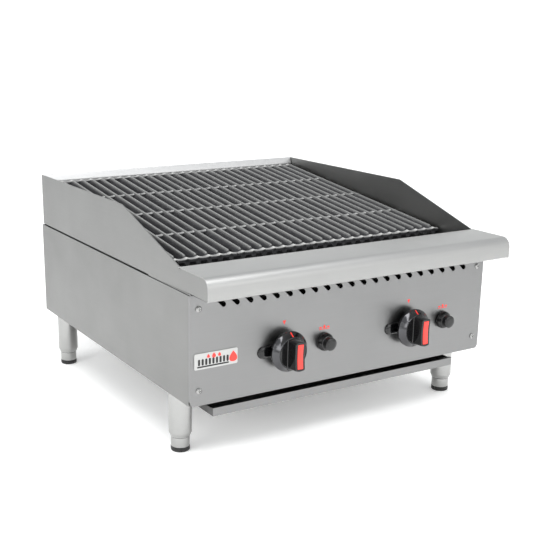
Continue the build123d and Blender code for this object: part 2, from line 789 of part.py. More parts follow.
def make_knob_body(sign):
    """Black knob: hub, disc filling the ring, and a tapered bar grip with a recess."""
    x0 = sign * valve_x
    fill = ring_profile(ring_wall + 0.05)
    top = knob_standoff + ring_depth
    profile = [(0, knob_hub_gap), (knob_hub_r, knob_hub_gap), (knob_hub_r, knob_standoff)]
    profile += [(r, knob_standoff + h) for r, h in fill]
    profile += [(0, top)]
    body = turned(profile, x0, valve_z)
    base = Plane.XZ.offset(-(panel_y - top + 1)) * Rectangle(grip_base, 2 * ring_r)
    front = Plane.XZ.offset(-(panel_y - top - grip_depth)) * Rectangle(grip_front, 2 * ring_r)
    grip = Pos(x0, 0, valve_z) * loft(Sketch() + [base, front])
    grip_r = ring_lip_r - ring_wall - 0.05
    grip &= rod_y(x0, valve_z, panel_y - top - grip_depth - 1, panel_y, grip_r)
    face_y = panel_y - top - grip_depth
    body += grip - grip_hollow(x0, face_y + grip_dip)
    w, h = insert_size[0] / 2 + 0.1, insert_size[1] / 2 + 0.1
    pocket = block(x0 - w, x0 + w, face_y - 1, face_y + 3 * insert_recess, valve_z - h, valve_z + h)
    body -= pocket & grip_hollow(x0, face_y + grip_dip + insert_recess)
    body -= rod_y(x0, valve_z, panel_y - top - 5, panel_y, stem_r + running)
    return body


def make_knob_insert(sign):
    """Red pointer strip set into the grip."""
    x0 = sign * valve_x
    face_y = panel_y - knob_standoff - ring_depth - grip_depth
    w, h = insert_size[0] / 2, insert_size[1] / 2
    strip = block(x0 - w, x0 + w, face_y - insert_proud, face_y + 3 * insert_recess,
                  valve_z - h, valve_z + h)
    strip &= grip_hollow(x0, face_y + grip_dip + insert_recess)
    return strip - grip_hollow(x0, face_y + grip_dip - insert_proud)


def make_valve_stem(sign):
    """Valve stem from inside the valve to inside the knob."""
    back = valve_back - valve_depth + 12
    front = panel_y - knob_standoff - ring_depth - 4
    return rod_y(sign * valve_x, valve_z, front, back, stem_r)


def make_pilot_knob(sign):
    """Black pilot knob: domed skirt, stepped cap and its own thin stem."""
    x = sign * valve_x + pilot_offset
    back = -(pipe_y - pilot_body[1] / 2 + 10 - panel_y)
    cap = pilot_cap_r
    high = pilot_knob_height
    profile = [(0, back), (pilot_stem_r, back), (pilot_stem_r, 1.0), (pilot_skirt_r, 1.0),
               (pilot_skirt_r, 4.5), (pilot_skirt_r - 0.7, 7.5), (pilot_skirt_r - 2.0, 10.0),
               (pilot_skirt_r - 3.6, 12.0), (cap + 0.3, 12.8), (cap, 13.6), (cap, high - 1.2),
               (cap - 1.2, high), (0, high)]
    return turned(profile, x, valve_z)


# ---------------------------------------------------------------- cooking grates
def make_grate():
    """One cast grate in its own flat frame: seven tapered bars on five cross rails."""
    half = grate_width / 2
    section = [(-ridge_half, 0), (ridge_half, 0), (shoulder_half, -shoulder_depth),
               (stem_half, -stem_depth), (stem_half, -bar_depth), (-stem_half, -bar_depth),
               (-stem_half, -stem_depth), (-shoulder_half, -shoulder_depth)]
    middle = (bar_count - 1) / 2
    bars = []
    for i in range(bar_count):
        x = (i - middle) * bar_pitch
        face = make_face(Plane.XZ * Polyline(*[(x + u, v) for u, v in section], close=True))
        bars.append(extrude(face, grate_length, dir=(0, 1, 0)))
    rails = []
    step = (grate_length - rail_thickness) / 4
    for i in range(5):
        rails.append(block(-half, half, i * step, i * step + rail_thickness, rail_bottom, rail_top))
    grate = bars[0] + bars[1:] + rails
    grate -= block(-half, half, -1, tip_length, rail_top, 1)
    grate -= block(-half, half, grate_length - tip_length, grate_length + 1, rail_top, 1)
    return grate


def grate_centres():
    """X of the four grates' middles."""
    middle = (grate_count - 1) / 2
    return [(i - middle) * grate_pitch for i in range(grate_count)]


# ---------------------------------------------------------------- grease handling
def make_trough():
    """Grease trough in front of the grates, with a drain tube down to the tray."""
    path = [(trough_front, trough_top), (trough_front, trough_floor_front),
            (trough_rear, trough_floor_rear), (trough_rear, trough_floor_rear + trough_rear_rise)]
    half = guard_inner - clearance
    trough = bent_sheet(path, sheet, half)
    trough += rod_z(0, drain_y, drain_bottom, trough_floor_front, drain_r)
    share = (drain_y - trough_front) / (trough_rear - trough_front)
    floor_z = trough_floor_front + share * (trough_floor_rear - trough_floor_front) + sheet
    over = block(-drain_r - 1, drain_r + 1, drain_y - drain_r - 1, drain_y + drain_r + 1,
                 floor_z - 0.3, trough_top)
    trough -= over
    trough -= rod_z(0, drain_y, drain_bottom - 1, trough_top, drain_r - sheet)
    return trough


def make_tray():
    """Drip tray: shallow pan with a hemmed front lip and side rims that hang on the runners."""
    top = tray_bottom + tray_depth
    rim_z = top - sheet
    pan = block(-tray_half, tray_half, tray_front, tray_rear, tray_bottom, rim_z)
    pan -= block(-tray_half + sheet, tray_half - sheet, tray_front + sheet, tray_rear - sheet,
                 tray_bottom + sheet, top + 1)
    pan += block(-tray_half, tray_half, tray_front, tray_front + sheet, tray_bottom, top)
    pan += block(-tray_half, tray_half, tray_front, tray_front + tray_hem, top - sheet, top)
    for sign in (-1, 1):
        rim = block(tray_half - sheet, tray_half + tray_rim, runner_front + 3, tray_rear,
                    rim_z - sheet, rim_z)
        pan += rim if sign > 0 else mirror(rim, Plane.YZ)
    return pan


def make_runner(sign):
    """Folded runner that hangs from the base and carries one rim of the tray."""
    rim_under = tray_bottom + tray_depth - 2 * sheet
    web_x = tray_half + tray_rim + runner_gap
    ledge_top_z = rim_under - clearance
    rear = rear_y - sheet - 2
    web = block(web_x, web_x + sheet, runner_front, rear, ledge_top_z - sheet, body_bottom)
    ledge = block(web_x - runner_ledge + sheet, web_x + sheet, runner_front, rear,
                  ledge_top_z - sheet, ledge_top_z)
    foot = block(web_x - 8, web_x + sheet, runner_front, rear, body_bottom - sheet, body_bottom)
    runner = web + ledge + foot
    return runner if sign > 0 else mirror(runner, Plane.YZ)


# ---------------------------------------------------------------- legs and feet
def make_leg_tube(x, y):
    """Leg tube with a tapered lower end, an inner bridge and a mounting stud."""
    low, high = leg_taper
    top = body_bottom
    profile = [(0, low), (leg_neck_r, low), (leg_r, high), (leg_r, top), (0, top)]
    leg = revolve(make_face(Plane.XZ * Polyline(*profile, close=True)), Axis.Z, 360)
    leg -= rod_z(0, 0, low - 1, top - leg_cap, foot_bore_r)
    bridge = pad_thickness + foot_barrel + bridge_gap
    leg += rod_z(0, 0, bridge, bridge + bridge_thickness, foot_bore_r + 0.5)
    leg -= rod_z(0, 0, bridge - 1, bridge + bridge_thickness + 1, foot_stud_r + running)
    leg += rod_z(0, 0, top - leg_cap, top + mount_stud, mount_stud_r)
    return Pos(x, y, 0) * leg


def make_leg_nuts():
    """Four hexagon nuts that hold the legs to the side flanges."""
    z = body_bottom + sheet
    nuts = []
    for x, y in leg_places:
        nut = extrude(RegularPolygon(10.4, 6), nut_height) - Cylinder(
            mount_stud_r + running, nut_height * 3)
        nuts.append(Pos(x, y, z) * nut)
    return Compound(nuts)


def make_foot(x, y):
    """Adjustable foot: a collar that shows, a barrel inside the tube and a threaded stud above it."""
    low = pad_thickness
    collar_top = leg_taper[0] - foot_collar_gap
    barrel_top = low + foot_barrel
    profile = [(0, low), (foot_collar_r, low), (foot_collar_r, collar_top),
               (foot_r, collar_top), (foot_r, barrel_top),
               (foot_stud_r, barrel_top), (foot_stud_r, barrel_top + foot_stud), (0, barrel_top + foot_stud)]
    foot = revolve(make_face(Plane.XZ * Polyline(*profile, close=True)), Axis.Z, 360)
    return Pos(x, y, 0) * foot


def make_foot_pad(x, y):
    """Black pad under a foot."""
    pad = Cylinder(pad_r, pad_thickness, align=(Align.CENTER, Align.CENTER, Align.MIN))
    pad = fillet(pad.edges().filter_by(GeomType.CIRCLE).sort_by(Axis.Z)[0], 2.0)
    return Pos(x, y, 0) * pad


# ---------------------------------------------------------------- write every node
save("rear_panel", make_rear_panel())
save("control_panel", make_control_panel())
save("control_panel_screws", make_panel_screws())
save("badge_plate", make_badge())
save("lighting_port_covers", make_port_covers())
save("base_cross_members", make_base_cross_members())
save("landing_ledge", make_ledge())
save("back_splash", make_back_splash())
save("firebox_front_wall", make_firebox_front())
save("firebox_rear_wall", make_firebox_rear())
save("front_grate_rest", make_grate_rest(True))
save("rear_grate_rest", make_grate_rest(False))
save("radiants", make_radiants())
save("gas_orifices", make_orifices())
save("manifold_pipe", make_manifold())
save("supply_pipe", make_supply_pipe())
save("gas_inlet", make_inlet())
save("pilot_valves", make_pilot_valves())
save("pilot_tubes", make_pilot_tubes())
save("pilot_burners", make_pilot_burners())
save("grease_trough", make_trough())
save("drip_tray", make_tray())
save("leg_nuts", make_leg_nuts())
save("leg_tubes", Compound([make_leg_tube(x, y) for x, y in leg_places]))

for side, sign in sides.items():
    save(side + "_side_panel", make_side_panel(sign))
    save(side + "_splash_guard", make_guard(sign))
    save("firebox_wall_" + side, make_firebox_side(sign))
    save("burner_" + side, make_burner(sign))
    save("air_shutter_" + side, make_air_shutter(sign))
    save("gas_valve_" + side, make_gas_valve(sign))
    save("valve_stem_" + side, make_valve_stem(sign))
    save("knob_ring_" + side, make_knob_ring(sign))
    save("knob_body_" + side, make_knob_body(sign))
    save("knob_insert_" + side, make_knob_insert(sign))
    save("pilot_knob_" + side, make_pilot_knob(sign))
    save("tray_runner_" + side, make_runner(sign))

for name, (x, y) in zip(leg_names, leg_places):
    save("foot_" + name, make_foot(x, y))
    save("foot_pad_" + name, make_foot_pad(x, y))

flat_grate = make_grate()
for number, x in enumerate(grate_centres(), start=1):
    save("grate_" + str(number), in_grate_frame(Pos(x, 0, 0) * flat_grate))
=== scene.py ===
import logging
import math
from dataclasses import dataclass
from enum import Enum

import bmesh
import bpy
import numpy as np
from mathutils import Matrix, Vector

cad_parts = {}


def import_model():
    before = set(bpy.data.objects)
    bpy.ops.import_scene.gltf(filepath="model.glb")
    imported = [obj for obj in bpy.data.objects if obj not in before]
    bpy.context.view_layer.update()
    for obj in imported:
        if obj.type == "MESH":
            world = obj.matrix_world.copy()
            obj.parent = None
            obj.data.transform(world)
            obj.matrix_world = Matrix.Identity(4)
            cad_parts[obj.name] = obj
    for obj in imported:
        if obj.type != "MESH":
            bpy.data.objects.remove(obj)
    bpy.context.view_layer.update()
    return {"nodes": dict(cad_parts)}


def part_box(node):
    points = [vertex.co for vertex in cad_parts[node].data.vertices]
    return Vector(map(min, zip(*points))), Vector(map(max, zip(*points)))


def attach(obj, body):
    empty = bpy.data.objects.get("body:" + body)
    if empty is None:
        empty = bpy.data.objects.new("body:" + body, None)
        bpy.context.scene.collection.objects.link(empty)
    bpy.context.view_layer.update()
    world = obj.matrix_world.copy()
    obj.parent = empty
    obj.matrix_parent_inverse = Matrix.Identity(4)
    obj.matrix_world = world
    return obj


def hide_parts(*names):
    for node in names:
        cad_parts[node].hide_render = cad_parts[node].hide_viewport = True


# A two-burner countertop gas charbroiler: stainless body, cast grates, black knobs in polished rings.
# Sizes are in millimetres in the classes below and become metres in Place.carry. The floor, lights and
# camera are no part of the object.

MM = 0.001
LOG = logging.getLogger("charbroiler")
SIDES = {"left": -1, "right": 1}


# ------------------------------------------------------------------ geometry
@dataclass(frozen=True)
class Shell:
    """One skin: its points in metres and its faces as lists of point numbers."""

    points: np.ndarray
    faces: list[list[int]]


@dataclass(frozen=True)
class Place:
    """A piece's own axes in the object's frame: an origin in millimetres and three directions."""

    origin: tuple[float, float, float]
    x: tuple[float, float, float] = (1.0, 0.0, 0.0)
    y: tuple[float, float, float] = (0.0, 1.0, 0.0)
    z: tuple[float, float, float] = (0.0, 0.0, 1.0)

    def carry(self, local: np.ndarray) -> np.ndarray:
        """Own-axis millimetres to frame metres: origin + a * x + b * y + c * z.

        Args:
            local: array of points whose last axis holds a, b and c.

        Returns:
            The points in metres, in the same array shape.
        """
        axes = np.array([self.x, self.y, self.z])
        return (np.array(self.origin) + local @ axes) * MM


def towards_cook(x: float, y: float, z: float) -> Place:
    """Place whose height axis points out of the control panel, at (x, y, z)."""
    return Place((x, y, z), (1.0, 0.0, 0.0), (0.0, 0.0, 1.0), (0.0, -1.0, 0.0))


def along_x(x: float = 0.0) -> Place:
    """Place for side-view outlines: own x is +Y, own y is +Z and height runs along +X."""
    return Place((x, 0.0, 0.0), (0.0, 1.0, 0.0), (0.0, 0.0, 1.0), (1.0, 0.0, 0.0))


def round_corners(path: np.ndarray, radii: np.ndarray | float, closed: bool = True,
                  steps: int = 7) -> np.ndarray:
    """Replaces each corner P of a flat path by a circular arc.

    The arc is the rational parabola ((1-s)^2 A + 2ws(1-s) P + s^2 B) / ((1-s)^2 + 2ws(1-s) + s^2) with
    w = cos(turn / 2), where A and B lie radius * tan(turn / 2) from P along its two sides.

    Args:
        path: (n, 2) corners in order.
        radii: one radius, or one for each corner.
        closed: whether the last corner joins the first; if not, both ends stay as they are.
        steps: points on each arc.

    Returns:
        (m, 2) points of the rounded path.
    """
    path = np.asarray(path, float)
    back = np.roll(path, 1, axis=0) - path
    ahead = np.roll(path, -1, axis=0) - path
    back_length = np.linalg.norm(back, axis=1)
    ahead_length = np.linalg.norm(ahead, axis=1)
    back /= back_length[:, None]
    ahead /= ahead_length[:, None]
    turn = np.arccos(np.clip(-(back * ahead).sum(axis=1), -1.0, 1.0))
    reach = np.broadcast_to(radii, turn.shape) * np.tan(turn / 2)
    reach = np.minimum(reach, 0.49 * np.minimum(back_length, ahead_length))[:, None]
    weight = np.cos(turn / 2)[:, None, None]
    s = np.linspace(0.0, 1.0, steps)[None, :, None]
    start, end, corner = (path + back * reach)[:, None], (path + ahead * reach)[:, None], path[:, None]
    middle = 2 * weight * s * (1 - s)
    arcs = ((1 - s) ** 2 * start + middle * corner + s**2 * end) / ((1 - s) ** 2 + middle + s**2)
    if closed:
        rounded = arcs.reshape(-1, 2)
        kept = np.linalg.norm(rounded - np.roll(rounded, 1, axis=0), axis=1) > 1e-4
        return rounded[kept]
    rounded = np.vstack([path[:1], arcs[1:-1].reshape(-1, 2), path[-1:]])
    kept = np.linalg.norm(np.diff(rounded, axis=0), axis=1) > 1e-4
    return rounded[np.concatenate([[True], kept])]


def inset(outline: np.ndarray, distance: float) -> np.ndarray:
    """Moves a closed outline to its left with mitred corners: P + d * (n1 + n2) / (1 + n1.n2).

    Args:
        outline: (n, 2) corners.
        distance: how far each side moves.

    Returns:
        The moved corners.
    """
    edge = np.roll(outline, -1, axis=0) - outline
    length = np.maximum(np.linalg.norm(edge, axis=1, keepdims=True), 1e-9)
    normal = np.stack([-edge[:, 1], edge[:, 0]], axis=1) / length
    before = np.roll(normal, 1, axis=0)
    share = 1 + (normal * before).sum(axis=1, keepdims=True)
    return outline + distance * (normal + before) / np.maximum(share, 0.3)


def sheet_outline(path: np.ndarray, thickness: float, radii: np.ndarray) -> np.ndarray:
    """Closed outline of a sheet folded along an open path.

    The second face is the path moved to its left by the thickness, mitred at each fold; the inside of a fold
    has the fold's radius less the thickness.

    Args:
        path: (n, 2) fold points of one face.
        thickness: sheet thickness.
        radii: outside radius of each fold, one for each inner point of the path.

    Returns:
        Closed (m, 2) outline.
    """
    path = np.asarray(path, float)
    edge = np.diff(path, axis=0)
    normal = np.stack([-edge[:, 1], edge[:, 0]], axis=1) / np.linalg.norm(edge, axis=1, keepdims=True)
    first, last = np.vstack([normal[:1], normal]), np.vstack([normal, normal[-1:]])
    other = path + thickness * (first + last) / (1 + (first * last).sum(axis=1, keepdims=True))
    left_turn = edge[:-1, 0] * edge[1:, 1] - edge[:-1, 1] * edge[1:, 0] > 0
    radii = np.broadcast_to(radii, left_turn.shape)
    near = np.concatenate([[0], np.where(left_turn, radii, radii - thickness), [0]])
    far = np.concatenate([[0], np.where(left_turn, radii - thickness, radii), [0]])
    return np.vstack([
        round_corners(path, near, closed=False),
        round_corners(other, far, closed=False)[::-1],
    ])


def stack_rings(rings: np.ndarray, closed: bool = False) -> Shell:
    """Skin through a stack of closed rings.

    Args:
        rings: (stations, around, 3) points in metres.
        closed: whether the last ring joins the first, as on a tube bent into a loop; if not, a flat face
            closes each end.

    Returns:
        The skin.
    """
    stations, around = rings.shape[:2]
    index = np.arange(stations * around).reshape(stations, around)
    here = index if closed else index[:-1]
    there = np.roll(index, -1, axis=0) if closed else index[1:]
    quads = np.stack([here, np.roll(here, -1, axis=1), np.roll(there, -1, axis=1), there], axis=-1)
    faces = quads.reshape(-1, 4).tolist()
    if not closed:
        faces += [index[0][::-1].tolist(), index[-1].tolist()]
    return Shell(rings.reshape(-1, 3), faces)


def counter_clockwise(outline: np.ndarray) -> np.ndarray:
    """Turns an outline so that its area, half the sum of x1 * y2 - y1 * x2, is positive.

    Args:
        outline: (n, 2) corners.

    Returns:
        The corners, counter-clockwise.
    """
    ahead = np.roll(outline, -1, axis=0)
    area = (outline[:, 0] * ahead[:, 1] - outline[:, 1] * ahead[:, 0]).sum()
    return outline if area > 0 else outline[::-1]


def extruded(outline: np.ndarray, place: Place, low: float, high: float, edge: float = 0.25) -> Shell:
    """A flat closed outline carried from one height to another, its rims bevelled.

    Args:
        outline: (n, 2) corners.
        place: its axes.
        low: height of the first face.
        high: height of the second face.
        edge: size of the bevel on both rims.

    Returns:
        The skin.
    """
    outline = counter_clockwise(outline)
    small = inset(outline, edge)
    loops = np.stack([small, outline, outline, small])
    heights = np.array([low, low + edge, high - edge, high])[:, None, None]
    rings = np.concatenate([loops, np.broadcast_to(heights, loops.shape[:2] + (1,))], axis=-1)
    return stack_rings(place.carry(rings))


def turned(profile: np.ndarray, place: Place, around: int = 96, stretch: float = 0.0,
           loop: bool = False) -> Shell:
    """A (radius, height) profile turned about the place's height axis.

    At angle t a point is (stretch * sign(cos t) + r cos t, r sin t, h), so a stretch above 0 gives an oblong.

    Args:
        profile: (n, 2) radii and heights.
        place: its axes.
        around: points around the axis.
        stretch: half the distance between an oblong's two end centres.
        loop: whether the profile closes on itself, as on a ring.

    Returns:
        The skin.
    """
    angle = (np.arange(around) + 0.5) * 2 * np.pi / around
    radius, height = profile[:, :1], profile[:, 1:]
    across = radius * np.cos(angle) + stretch * np.sign(np.cos(angle))
    rings = np.stack([across, radius * np.sin(angle), np.broadcast_to(height, across.shape)], axis=-1)
    return stack_rings(place.carry(rings), closed=loop)


def polar_box(width: np.ndarray, height: np.ndarray, limit: np.ndarray, angle: np.ndarray) -> np.ndarray:
    """Radius of a box clipped by a circle: min(w / 2|cos t|, h / 2|sin t|, limit), its corners softened.

    The softening is the power mean (a^-p + b^-p + c^-p)^(-1/p) with p = 24.

    Args:
        width: box widths, shaped (n, 1).
        height: box heights, shaped (n, 1).
        limit: circle radii, shaped (n, 1).
        angle: (m,) angles.

    Returns:
        (n, m) radii.
    """
    power = 24.0
    across = width / 2 / np.maximum(np.abs(np.cos(angle)), 1e-3)
    along = height / 2 / np.maximum(np.abs(np.sin(angle)), 1e-3)
    scale = np.minimum(np.minimum(across, along), limit)
    total = (scale / across) ** power + (scale / along) ** power + (scale / limit) ** power
    return scale * total ** (-1 / power)


def make_piece(name: str, shells: list[Shell], finish: bpy.types.Material,
               sharp: float = 35.0) -> bpy.types.Object:
    """Puts skins into one mesh object, smooth except across edges sharper than an angle.

    Args:
        name: object name.
        shells: its closed skins.
        finish: its material.
        sharp: the angle in degrees.

    Returns:
        The object, linked to the scene.
    """
    starts = np.cumsum([0] + [len(shell.points) for shell in shells[:-1]])
    faces = [[int(start) + i for i in face] for shell, start in zip(shells, starts) for face in shell.faces]
    mesh = bpy.data.meshes.new(name)
    mesh.from_pydata(np.vstack([shell.points for shell in shells]).tolist(), [], faces)
    work = bmesh.new()
    work.from_mesh(mesh)
    bmesh.ops.recalc_face_normals(work, faces=work.faces)
    work.to_mesh(mesh)
    work.free()
    mesh.materials.append(finish)
    mesh.shade_smooth()
    mesh.set_sharp_from_angle(angle=math.radians(sharp))
    piece = bpy.data.objects.new(name, mesh)
    bpy.context.scene.collection.objects.link(piece)
    LOG.info("%s: %d faces", name, len(mesh.polygons))
    return piece


def settle(piece: bpy.types.Object, body: str, slot: str, *nodes: str) -> bpy.types.Object:
    """Makes a piece ride on a body and stand for the given CAD nodes.

    Args:
        piece: the object.
        body: the body it moves with.
        slot: not used.
        nodes: CAD nodes that it replaces.

    Returns:
        The same object.
    """
    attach(piece, body)
    if nodes:
        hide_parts(*nodes)
    return piece


def box_mm(node: str) -> tuple[np.ndarray, np.ndarray]:
    """Lowest and highest corner of a CAD node, in millimetres."""
    low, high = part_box(node)
    return np.array(low) / MM, np.array(high) / MM


def middle_mm(node: str) -> np.ndarray:
    """Middle of a CAD node's box, in millimetres."""
    low, high = box_mm(node)
    return (low + high) / 2


def panel_face() -> float:
    """Where the control panel's front face is along Y, in millimetres."""
    return float(box_mm("control_panel")[0][1])


# ------------------------------------------------------------------ finishes
def linear(hex_colour: str) -> tuple[float, float, float, float]:
    """An sRGB hex colour such as "#8a8a88" as linear red, green, blue and alpha 1."""
    parts = [int(hex_colour[i:i + 2], 16) / 255 for i in (1, 3, 5)]
    return tuple(c / 12.92 if c <= 0.04045 else ((c + 0.055) / 1.055) ** 2.4 for c in parts) + (1.0,)


def add_node(tree: bpy.types.NodeTree, kind: str, inputs: dict | None = None,
             **settings: object) -> bpy.types.Node:
    """Adds one node with its settings, values and links.

    Args:
        tree: the node tree.
        kind: the node's type name.
        inputs: values for its input sockets, or output sockets to link to them.
        settings: the node's own properties.

    Returns:
        The node.
    """
    node = tree.nodes.new(kind)
    for key, value in settings.items():
        setattr(node, key, value)
    for key, value in (inputs or {}).items():
        if isinstance(value, bpy.types.NodeSocket):
            tree.links.new(value, node.inputs[key])
        else:
            node.inputs[key].default_value = value
    return node


def new_material(name: str) -> tuple[bpy.types.Material, bpy.types.NodeTree, bpy.types.NodeSocket]:
    """An empty node material.

    Args:
        name: its name.

    Returns:
        The material, its tree and the Object coordinates' socket.
    """
    material = bpy.data.materials.new(name)
    material.use_nodes = True
    tree = material.node_tree
    tree.nodes.clear()
    where = add_node(tree, "ShaderNodeTexCoord").outputs["Object"]
    return material, tree, where


def shade(tree: bpy.types.NodeTree, **inputs: object) -> None:
    """Ends a material in one Principled surface.

    Args:
        tree: the material's node tree.
        inputs: values or links of its sockets, their spaces written as underscores.
    """
    values = {key.replace("_", " "): value for key, value in inputs.items()}
    surface = add_node(tree, "ShaderNodeBsdfPrincipled", values)
    add_node(tree, "ShaderNodeOutputMaterial", {"Surface": surface.outputs["BSDF"]})


class Grain(Enum):
    """Which way a brushed sheet's scratches run."""

    ALONG_X = (0.012, 1.0, 1.0)
    ALONG_Y = (1.0, 0.012, 1.0)
    ALONG_Z = (1.0, 1.0, 0.012)


@dataclass(frozen=True)
class BrushedStainless:
    """304 stainless sheet with a satin belt grain: a grey mirror blurred by fine parallel scratches."""

    name: str
    colour: str = "#a5a5a3"
    roughness: float = 0.30
    grain: Grain = Grain.ALONG_X
    scratch_mm: float = 0.8     # real belt scratches are 0.1 mm apart; drawn coarser so that they show
    scratch_depth_mm: float = 0.003
    streak: float = 0.035       # how much paler and darker the streaks are
    haze_mm: float = 90.0       # patches that are a little duller
    wave_mm: float = 170.0      # slow waves that rolled sheet keeps
    wave_height_mm: float = 0.12

    def material(self) -> bpy.types.Material:
        """Builds the node material.

        Returns:
            The material.
        """
        made, tree, where = new_material(self.name)
        stretch = add_node(tree, "ShaderNodeMapping", {"Vector": where, "Scale": self.grain.value})
        scratch = add_node(tree, "ShaderNodeTexNoise", {
            "Vector": stretch.outputs[0], "Scale": 1 / (self.scratch_mm * MM * 2), "Detail": 4.0,
            "Roughness": 0.6})
        haze = add_node(tree, "ShaderNodeTexNoise", {
            "Vector": where, "Scale": 1 / (self.haze_mm * MM), "Detail": 3.0})
        wave = add_node(tree, "ShaderNodeTexNoise", {
            "Vector": where, "Scale": 1 / (self.wave_mm * MM), "Detail": 1.0})
        base = np.array(linear(self.colour))
        tone = add_node(tree, "ShaderNodeMixRGB", {
            "Fac": scratch.outputs["Fac"], "Color1": tuple(base * (*[1 - self.streak] * 3, 1)),
            "Color2": tuple(np.minimum(base * (*[1 + self.streak] * 3, 1), 1))})
        rough = add_node(tree, "ShaderNodeMapRange", {
            "Value": haze.outputs["Fac"], "From Min": 0.3, "From Max": 0.7,
            "To Min": self.roughness - 0.03, "To Max": self.roughness + 0.05})
        slow = add_node(tree, "ShaderNodeBump", {
            "Height": wave.outputs["Fac"], "Distance": self.wave_height_mm * MM, "Strength": 1.0})
        fine = add_node(tree, "ShaderNodeBump", {
            "Height": scratch.outputs["Fac"], "Distance": self.scratch_depth_mm * MM, "Strength": 1.0,
            "Normal": slow.outputs[0]})
        shade(tree, Base_Color=tone.outputs[0], Metallic=1.0, Roughness=rough.outputs[0],
              Normal=fine.outputs[0])
        return made


@dataclass(frozen=True)
class PolishedMetal:
    """Polished metal such as chrome plate or buffed tube: a clear reflection with faint wipe marks."""

    name: str
    colour: str
    roughness: float
    smear_mm: float = 8.0

    def material(self) -> bpy.types.Material:
        """Builds the node material.

        Returns:
            The material.
        """
        made, tree, where = new_material(self.name)
        smear = add_node(tree, "ShaderNodeTexNoise", {
            "Vector": where, "Scale": 1 / (self.smear_mm * MM), "Detail": 5.0})
        rough = add_node(tree, "ShaderNodeMapRange", {
            "Value": smear.outputs["Fac"], "From Min": 0.35, "From Max": 0.7,
            "To Min": self.roughness, "To Max": self.roughness + 0.06})
        base = np.array(linear(self.colour))
        tone = add_node(tree, "ShaderNodeMixRGB", {
            "Fac": smear.outputs["Fac"], "Color1": tuple(base),
            "Color2": tuple(base * (0.94, 0.94, 0.94, 1))})
        shade(tree, Base_Color=tone.outputs[0], Metallic=1.0, Roughness=rough.outputs[0])
        return made


@dataclass(frozen=True)
class CastIron:
    """Sand-cast grey iron, oiled: a pitted dark skin, paler at the tops from ground and scraped wear and from
    a painted highlight.
    """

    name: str
    dark: str = "#39393b"
    # Colour of the tops: scraped wear together with a painted highlight.
    worn: str = "#717170"
    roughness: float = 0.48
    sand_mm: float = 1.6        # grain of the sand mould
    patch_mm: float = 26.0      # patches of thicker and thinner oil skin
    pit_mm: float = 0.35
    worn_mm: float = 3.6        # how far down from the top the paler wear and painted highlight reach
    plane: tuple[float, float, float, float] | None = None  # top plane: unit normal and distance in mm

    def material(self) -> bpy.types.Material:
        """Builds the node material.

        Returns:
            The material.
        """
        made, tree, where = new_material(self.name)
        sand = add_node(tree, "ShaderNodeTexNoise", {
            "Vector": where, "Scale": 1 / (self.sand_mm * MM), "Detail": 3.0})
        patch = add_node(tree, "ShaderNodeTexNoise", {
            "Vector": where, "Scale": 1 / (self.patch_mm * MM), "Detail": 4.0})
        dark = np.array(linear(self.dark))
        tone = add_node(tree, "ShaderNodeMixRGB", {
            "Fac": patch.outputs["Fac"], "Color1": tuple(dark * (0.7, 0.7, 0.7, 1)),
            "Color2": tuple(np.minimum(dark * (1.5, 1.5, 1.5, 1), 1))})
        # Paler towards the top plane: scraped wear together with a painted highlight on the tops.
        if self.plane:
            height = add_node(tree, "ShaderNodeVectorMath", {0: where, 1: self.plane[:3]},
                              operation="DOT_PRODUCT")
            shake = add_node(tree, "ShaderNodeMath", {
                0: sand.outputs["Fac"], 1: 0.9 * MM, 2: height.outputs["Value"]}, operation="MULTIPLY_ADD")
            top = add_node(tree, "ShaderNodeMapRange", {
                "Value": shake.outputs[0], "From Min": (self.plane[3] - self.worn_mm) * MM,
                "From Max": (self.plane[3] + 0.2) * MM, "To Min": 0.0, "To Max": 1.0})
            tone = add_node(tree, "ShaderNodeMixRGB", {
                "Fac": top.outputs[0], "Color1": tone.outputs[0], "Color2": linear(self.worn)})
        rough = add_node(tree, "ShaderNodeMapRange", {
            "Value": patch.outputs["Fac"], "From Min": 0.3, "From Max": 0.7,
            "To Min": self.roughness - 0.06, "To Max": self.roughness + 0.08})
        pits = add_node(tree, "ShaderNodeBump", {
            "Height": sand.outputs["Fac"], "Distance": self.pit_mm * MM, "Strength": 0.8})
        shade(tree, Base_Color=tone.outputs[0], Metallic=0.35, Roughness=rough.outputs[0],
              Normal=pits.outputs[0])
        return made


@dataclass(frozen=True)
class Moulded:
    """Moulded phenolic, rubber or printed enamel: an even colour under a faint orange-peel skin."""

    name: str
    colour: str
    roughness: float
    peel_mm: float = 2.5
    peel_height_mm: float = 0.02
    dust_mm: float = 14.0

    def material(self) -> bpy.types.Material:
        """Builds the node material.

        Returns:
            The material.
        """
        made, tree, where = new_material(self.name)
        peel = add_node(tree, "ShaderNodeTexNoise", {
            "Vector": where, "Scale": 1 / (self.peel_mm * MM), "Detail": 3.0})
        dust = add_node(tree, "ShaderNodeTexNoise", {
            "Vector": where, "Scale": 1 / (self.dust_mm * MM), "Detail": 4.0})
        base = np.array(linear(self.colour))
        tone = add_node(tree, "ShaderNodeMixRGB", {
            "Fac": dust.outputs["Fac"], "Color1": tuple(base),
            "Color2": tuple(np.minimum(base * (1.25, 1.25, 1.25, 1) + (0.002, 0.002, 0.002, 0), 1))})
        rough = add_node(tree, "ShaderNodeMapRange", {
            "Value": dust.outputs["Fac"], "From Min": 0.3, "From Max": 0.7,
            "To Min": max(self.roughness - 0.04, 0.02), "To Max": self.roughness + 0.06})
        skin = add_node(tree, "ShaderNodeBump", {
            "Height": peel.outputs["Fac"], "Distance": self.peel_height_mm * MM, "Strength": 1.0})
        shade(tree, Base_Color=tone.outputs[0], Roughness=rough.outputs[0], Normal=skin.outputs[0])
        return made


